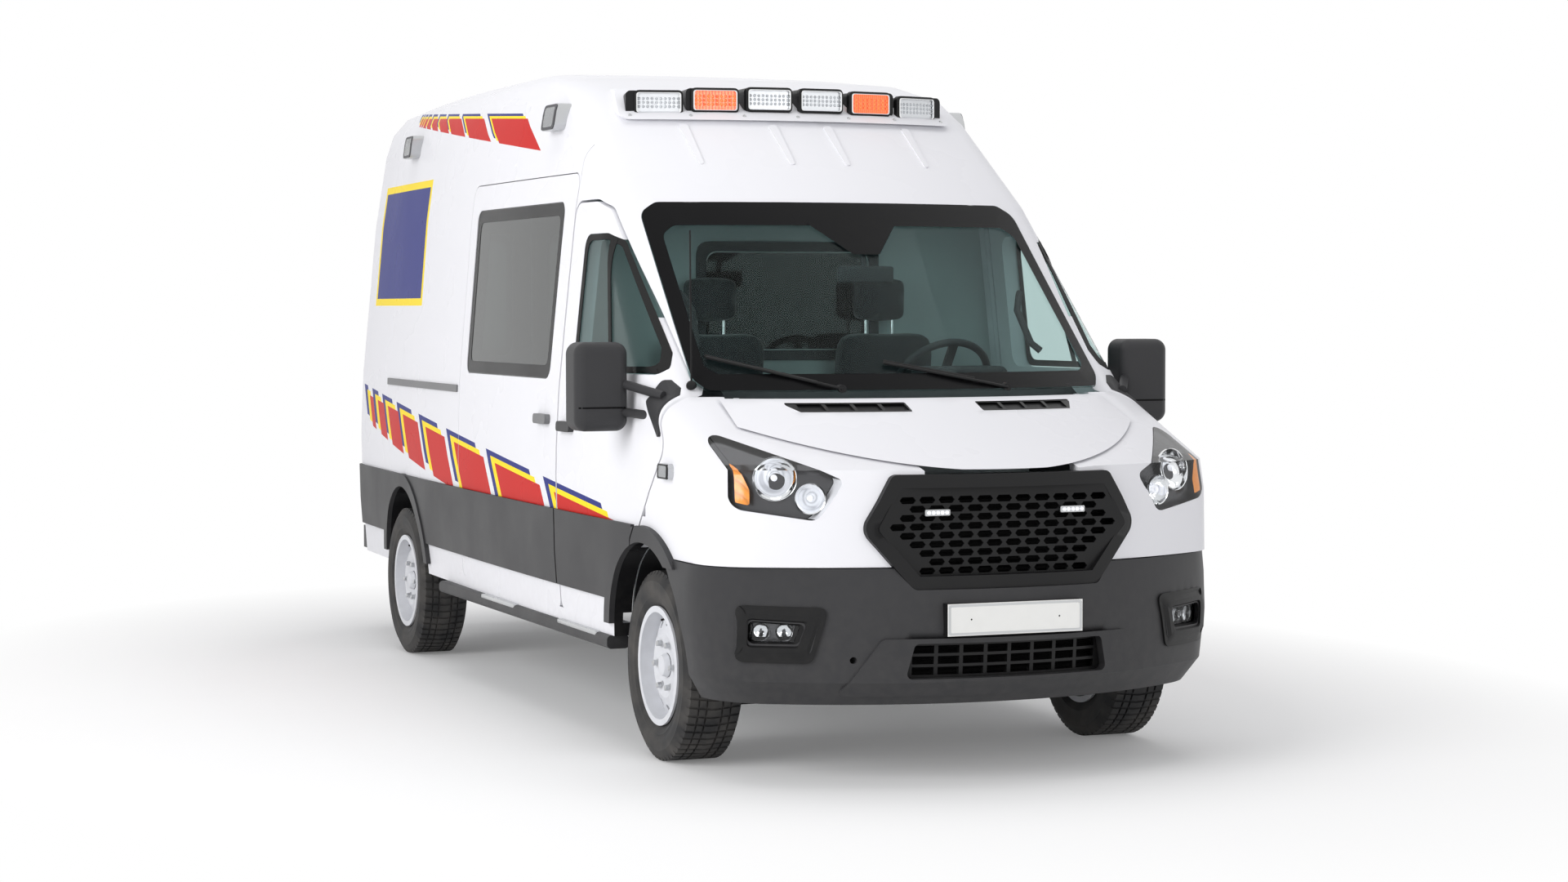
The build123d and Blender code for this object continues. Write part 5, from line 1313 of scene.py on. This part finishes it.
def pad(centre, extent, crown, tilt):
    """A rounded box whose faces swell and whose sides pull in between the corners, with sewn channels."""
    mesh = bmesh.new()
    bmesh.ops.create_cube(mesh, size=2.0)
    bmesh.ops.subdivide_edges(mesh, edges=mesh.edges, cuts=9, use_grid_fill=True)
    turn = Matrix.Rotation(tilt, 3, "X")
    width, length, thickness = extent
    for vertex in mesh.verts:
        reach = sum(abs(part) ** PAD_POWER for part in vertex.co) ** (1 / PAD_POWER)
        x, y, z = (part / reach for part in vertex.co)
        pull = 1.0 - PAD_PULL * (1 - x * x) * abs(y) - PAD_PULL * (1 - y * y) * abs(x)
        channel = CHANNEL_DEPTH * max(0.0, 1.0 - abs(abs(x) - CHANNEL_PLACE) / CHANNEL_WIDTH)
        swell = 1.0 + crown * (1 - x * x) * (1 - y * y) - channel / thickness
        local = Vector((x * width / 2 * pull, y * length / 2 * pull, z * thickness / 2 * swell))
        vertex.co = centre + turn @ local
    return mesh


def applied(thing):
    """Gives an object the mesh that its modifiers make of it."""
    shape = thing.evaluated_get(bpy.context.evaluated_depsgraph_get())
    data = bpy.data.meshes.new_from_object(shape)
    thing.modifiers.clear()
    thing.data = data


def stuffed(thing):
    """Swells a pad as cloth under pressure, within a limit, and keeps the result."""
    scene = bpy.context.scene
    even = thing.modifiers.new("Even skin", "REMESH")
    even.mode, even.voxel_size = "VOXEL", PAD_VOXEL
    applied(thing)
    start = [vertex.co.copy() for vertex in thing.data.vertices]
    cloth = thing.modifiers.new("Stuffing", "CLOTH")
    cloth.settings.use_pressure = True
    cloth.settings.uniform_pressure_force = PAD_PRESSURE
    cloth.settings.effector_weights.gravity = 0.0
    for number in range(1, PAD_FRAMES + 1):
        scene.frame_set(number)
    applied(thing)
    scene.frame_set(1)
    for vertex, place in zip(thing.data.vertices, start):
        move = vertex.co - place
        if move.length > PAD_SWELL:
            vertex.co = place + move * (PAD_SWELL / move.length)
    thing.data.shade_smooth()


class AMBULANCE_OT_seats(AmbulanceOperator, bpy.types.Operator):
    """Two padded seats with back, head rest and posts."""

    bl_idname = "ambulance.seats"
    bl_label = "Seats"

    across = 0.375
    # pads: station and height of the middle, width, length and thickness, swell, tilt
    pads = {
        "cushion": (1.785, 1.092, (0.455, 0.368, 0.086), 0.06, 0.07),
        "back": (2.052, 1.350, (0.445, 0.456, 0.086), 0.08, radians(98.0)),
        "head_rest": (2.088, 1.706, (0.222, 0.174, 0.072), 0.08, radians(92.0)),
    }
    # head rest posts: station, heights of their points, distance either side of the middle, radius
    post_station = 2.088
    post_heights = (1.56, 1.62, 1.66)
    post_offset = 0.06
    post_radius = 0.007

    def build(self):
        left, right = (side for _, side in SIDES)
        for name, (station, height, extent, crown, tilt) in self.pads.items():
            centre = Vector((self.across, at(station), height))
            first = piece(f"cab_{name}_{left}", pad(centre, extent, crown, tilt), "seat_fabric",
                          slot="seat_fabric")
            stuffed(first)
            points = [vertex.co - Vector((2 * self.across, 0, 0)) for vertex in first.data.vertices]
            faces = [tuple(face.vertices) for face in first.data.polygons]
            second = piece(f"cab_{name}_{right}", (points, faces), "seat_fabric", slot="seat_fabric")
            for thing in (first, second):
                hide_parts("seats")
        for turn, side in SIDES:
            posts = []
            for offset in (-self.post_offset, self.post_offset):
                foot = Vector((turn * self.across + offset, at(self.post_station), 0))
                path = [foot + Vector((0, 0, height)) for height in self.post_heights]
                posts.append(swept(path, self.post_radius))
            piece(f"head_rest_posts_{side}", joined(posts), "steel", slot="seat_fabric")


class AMBULANCE_OT_cab_fittings(AmbulanceOperator, bpy.types.Operator):
    """Instrument hood, inner mirror, grab handles and the frame of the bulkhead window."""

    bl_idname = "ambulance.cab_fittings"
    bl_label = "Cab fittings"

    # boxes: across, station and height of the middle, size, edge radius
    boxes = {
        "instrument_hood": ((0.375, 1.285, 1.405), (0.36, 0.17, 0.075), 0.03),
        "inner_mirror": ((0.0, 1.345, 1.800), (0.235, 0.028, 0.068), 0.013),
    }
    # bars: across, station and height of their points
    stalk = ((0.0, 1.352, 1.815), (0.0, 1.365, 1.850), (0.0, 1.378, 1.885))
    stalk_radius = 0.012
    grip = ((0.735, 1.300, 1.50), (0.705, 1.325, 1.53), (0.690, 1.420, 1.66), (0.715, 1.455, 1.72),
            (0.725, 1.470, 1.73))
    grip_radius = 0.014
    window_edge = (-0.405, 0.405, 1.455, 1.945, 0.06)
    window_opening = (-0.364, 0.364, 1.496, 1.904, 0.05)

    def build(self):
        for name, ((across, station, height), extent, radius) in self.boxes.items():
            piece(name, soft_box((across, at(station), height), extent, radius, 4), "cab_plastic",
                  slot="cab_plastic")
        stalk = [(across, at(station), height) for across, station, height in self.stalk]
        piece("inner_mirror_stalk", swept(stalk, self.stalk_radius), "cab_plastic", slot="cab_plastic")
        band("bulkhead_window_frame", rectangle(*self.window_edge), rectangle(*self.window_opening), "front",
             skin_of("bulkhead"), 0.004, "cab_plastic", slot="cab_plastic", thick=0.014)
        for turn, side in SIDES:
            grip = [(turn * across, at(station), height) for across, station, height in self.grip]
            piece(f"grab_handle_{side}", swept(grip, self.grip_radius), "cab_plastic", slot="cab_plastic")


class AMBULANCE_OT_rear_fittings(AmbulanceOperator, bpy.types.Operator):
    """Handle and seal of the rear doors, and the coloured parts of the tail lamps."""

    bl_idname = "ambulance.rear_fittings"
    bl_label = "Rear fittings"

    # handle: across and height of its middle, sizes of the grip and of its plate
    handle = (-0.085, 1.13)
    grip = (0.050, 0.032, 0.190)
    plate = (0.085, 0.010, 0.250)
    seal = (0.008, 0.020, 0.58, 2.38, 0.0)
    # fields of the tail lamps: both ends across; low edge, high edge and finish of each
    field_across = (0.846, 0.886)
    fields = {"turn": (1.075, 1.205, "amber"), "reverse": (0.755, 0.860, "fluted")}

    def build(self):
        door = skin_of("rear_door_right")
        place = seated(door, "rear", *self.handle, 0.012)
        piece("rear_handle", soft_box(place, self.grip, 0.012, 4), "black_plastic", "rear_door_right",
              "black_plastic")
        place = seated(door, "rear", *self.handle, 0.002)
        piece("rear_handle_plate", soft_box(place, self.plate, 0.004), "dark_plastic", "rear_door_right",
              "dark_plastic")
        patch("rear_door_seal", rectangle(*self.seal), "rear", skin_of("rear_door_left"), 0.002, "seal",
              "rear_door_left", "black_plastic", thick=0.003)
        lamps = skin_of("tail_lamps")
        for turn, side in SIDES:
            across = sorted(turn * end for end in self.field_across)
            for name, (low, high, finish) in self.fields.items():
                patch(f"tail_{name}_{side}", rectangle(*across, low, high, 0.012), "rear", lamps, 0.002,
                      finish, slot="lamp_red", thick=0.003)


class AMBULANCE_OT_trim(AmbulanceOperator, bpy.types.Operator):
    """Tread plates on the side steps and the rims of the blank number plates."""

    bl_idname = "ambulance.trim"
    bl_label = "Trim"

    # tread plates: front and rear station of each, across and height of their middle, width and thickness
    treads = ((1.62, 2.12), (2.75, 3.25))
    tread_across = 1.004
    tread_height = 0.414
    tread_width = 0.036
    tread_thick = 0.020
    # number plates: low edge at each end of the vehicle, half width and height, and both edges of the rim
    plates = {"front": 0.534, "rear": 0.427}
    plate_half = 0.260
    plate_height = 0.112
    rim_edges = (0.003, 0.011)
    rim_radii = (0.008, 0.006)

    def build(self):
        for turn, side in SIDES:
            for number, (front, rear) in enumerate(self.treads):
                centre = Vector((turn * self.tread_across, at((front + rear) / 2), self.tread_height))
                extent = (self.tread_width, rear - front, self.tread_thick)
                piece(f"step_tread_{number}_{side}", soft_box(centre, extent, 0.006), "steel",
                      slot="dark_plastic")
        frame["nodes"]["slider_fittings"].data.materials[0] = MATERIALS["grey_plastic"]
        skin = skin_of("number_plates")
        for look, low in self.plates.items():
            high = low + self.plate_height
            outer, inner = (
                rectangle(edge - self.plate_half, self.plate_half - edge, low + edge, high - edge, radius)
                for edge, radius in zip(self.rim_edges, self.rim_radii))
            band(f"plate_rim_{look}", outer, inner, look, skin, 0.0006, "steel", slot="plate_white", rows=1)


class AMBULANCE_OT_stage(AmbulanceOperator, bpy.types.Operator):
    """Pale floor, soft studio light and the camera."""

    bl_idname = "ambulance.stage"
    bl_label = "Studio and camera"

    floor_reach = 90.0
    # the floor's clear field is narrower across than along, and starts to fade at a share of its reach
    fade_shape = (1.5, 1.0, 0.0)
    fade_start = 0.6
    # lamps: place, aimed at, width, share of the key power
    lamps = {
        "key_light": ((-10.5, -5.0, 4.6), (0, 0, 1.2), 8.0, 1.45),
        "front_light": ((1.5, -12.0, 4.0), (0, -2.0, 1.0), 6.0, 0.42),
        "top_light": ((0.0, 0.0, 9.0), (0, 0, 0), 9.0, 0.50),
    }
    sky = (1.0, 1.0, 1.02)
    white = (1.0, 1.0, 1.0)
    sensor = 36.0
    view_reach = 400.0

    def build(self):
        stage, scene = settings("stage"), bpy.context.scene
        scene.view_settings.view_transform = "Standard"
        self.floor(scene, stage)
        self.world(scene, stage)
        for name, (place, aim, width, share) in self.lamps.items():
            data = bpy.data.lights.new(name, "AREA")
            data.shape, data.size, data.energy = "DISK", width, stage.key * share
            lamp = bpy.data.objects.new(name, data)
            lamp.location = place
            lamp.rotation_euler = (Vector(aim) - Vector(place)).to_track_quat("-Z", "Y").to_euler()
            lamp.visible_glossy = False
            scene.collection.objects.link(lamp)
        self.camera(scene, stage)

    def floor(self, scene, stage):
        """A wide pale floor."""
        mesh = bpy.data.meshes.new("studio_floor")
        reach = self.floor_reach
        corners = [(-reach, -reach, 0), (reach, -reach, 0), (reach, reach, 0), (-reach, reach, 0)]
        mesh.from_pydata(corners, [], [(0, 1, 2, 3)])
        floor = bpy.data.objects.new("studio_floor", mesh)
        scene.collection.objects.link(floor)
        finish = Finish("Studio floor", {"Roughness": 0.9, "Specular IOR Level": 0.1})
        patches = finish.tree.ramp(finish.tree.noise(finish.tree.place(), 0.6), *NOISE_SPAN)
        finish.vary("Base Color", patches, shaded(stage.floor, 0.985), stage.floor)
        self.fade(finish, stage)
        mesh.materials.append(finish.material)

    def fade(self, finish, stage):
        """Far from the vehicle the camera, mirrors and glass see the floor as plain white."""
        tree = finish.tree
        narrow = tree.add("VectorMath", {1: self.fade_shape}, operation="MULTIPLY")
        tree.feed(narrow, 0, tree.place())
        far = tree.add("VectorMath", operation="LENGTH")
        tree.feed(far, 0, narrow.outputs[0])
        share = tree.ramp(far.outputs["Value"], stage.clear * self.fade_start, stage.clear, stage.veil)
        white = tree.add("Emission", {"Color": opaque(self.white), "Strength": 1.0})
        finish.blend(tree.math("MULTIPLY", share, tree.seen_directly()), white)

    def world(self, scene, stage):
        """Even light all round; the camera, mirrors and glass see plain white."""
        world = bpy.data.worlds.new("Studio")
        world.use_nodes = True
        scene.world = world
        tree = Tree(world.node_tree)
        light = world.node_tree.nodes["Background"]
        socket_values(light, {"Color": opaque(self.sky), "Strength": stage.ambient})
        seen = tree.add("Background", {"Color": opaque(self.white), "Strength": 1.0})
        blend = tree.add("MixShader")
        tree.feed(blend, 0, tree.seen_directly())
        tree.feed(blend, 1, light.outputs[0])
        tree.feed(blend, 2, seen.outputs[0])
        tree.feed(world.node_tree.nodes["World Output"], "Surface", blend.outputs[0])

    def camera(self, scene, stage):
        """Camera at the photograph's place and direction."""
        data = bpy.data.cameras.new("photo_camera")
        data.sensor_width, data.lens = self.sensor, stage.lens
        data.clip_end = self.view_reach
        forward = Vector((sin(stage.yaw), cos(stage.yaw), 0))
        ahead = forward * cos(stage.pitch) + Vector((0, 0, sin(stage.pitch)))
        level = Vector((cos(stage.yaw), -sin(stage.yaw), 0))
        right = level * cos(stage.roll) + level.cross(ahead) * sin(stage.roll)
        over = right.cross(ahead)
        facing = Matrix((right, over, -ahead)).transposed().to_4x4()
        camera = bpy.data.objects.new("photo_camera", data)
        camera.matrix_world = Matrix.Translation(stage.camera) @ facing
        scene.collection.objects.link(camera)
        scene.camera = camera


OPERATORS = (
    AMBULANCE_OT_finishes, AMBULANCE_OT_tyres, AMBULANCE_OT_wheel_fittings, AMBULANCE_OT_glass_borders,
    AMBULANCE_OT_headlamps, AMBULANCE_OT_fog_lamps, AMBULANCE_OT_grille, AMBULANCE_OT_roof_lamps,
    AMBULANCE_OT_side_lamps, AMBULANCE_OT_mirrors, AMBULANCE_OT_seats, AMBULANCE_OT_cab_fittings,
    AMBULANCE_OT_rear_fittings, AMBULANCE_OT_trim, AMBULANCE_OT_stage,
)
GROUPS = {"paint": PaintSettings, "lamp": LampSettings, "tyre": TyreSettings, "stage": StageSettings}


class AMBULANCE_PT_panel(bpy.types.Panel):
    """Settings and steps in the sidebar of the 3D view."""

    bl_label = "Ambulance"
    bl_idname = "AMBULANCE_PT_panel"
    bl_space_type = "VIEW_3D"
    bl_region_type = "UI"
    bl_category = "Ambulance"

    def draw(self, context):
        for name, group in GROUPS.items():
            box = self.layout.box()
            box.label(text=name.capitalize())
            for prop in group.__annotations__:
                box.prop(settings(name), prop)
        for operator in OPERATORS:
            self.layout.operator(operator.bl_idname)


def register():
    """Registers the settings, operators and panel."""
    for group in GROUPS.values():
        bpy.utils.register_class(group)
    for name, group in GROUPS.items():
        setattr(bpy.types.Scene, f"ambulance_{name}", PointerProperty(type=group))
    for operator in OPERATORS:
        bpy.utils.register_class(operator)
    bpy.utils.register_class(AMBULANCE_PT_panel)


def unregister():
    """Takes everything away again."""
    bpy.utils.unregister_class(AMBULANCE_PT_panel)
    for operator in reversed(OPERATORS):
        bpy.utils.unregister_class(operator)
    for name in GROUPS:
        delattr(bpy.types.Scene, f"ambulance_{name}")
    for group in GROUPS.values():
        bpy.utils.unregister_class(group)


def main():
    """Builds the looks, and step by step."""
    register()
    for operator in OPERATORS:
        family, name = operator.bl_idname.split(".")
        getattr(getattr(bpy.ops, family), name)()


if __name__ == "__main__":
    main()
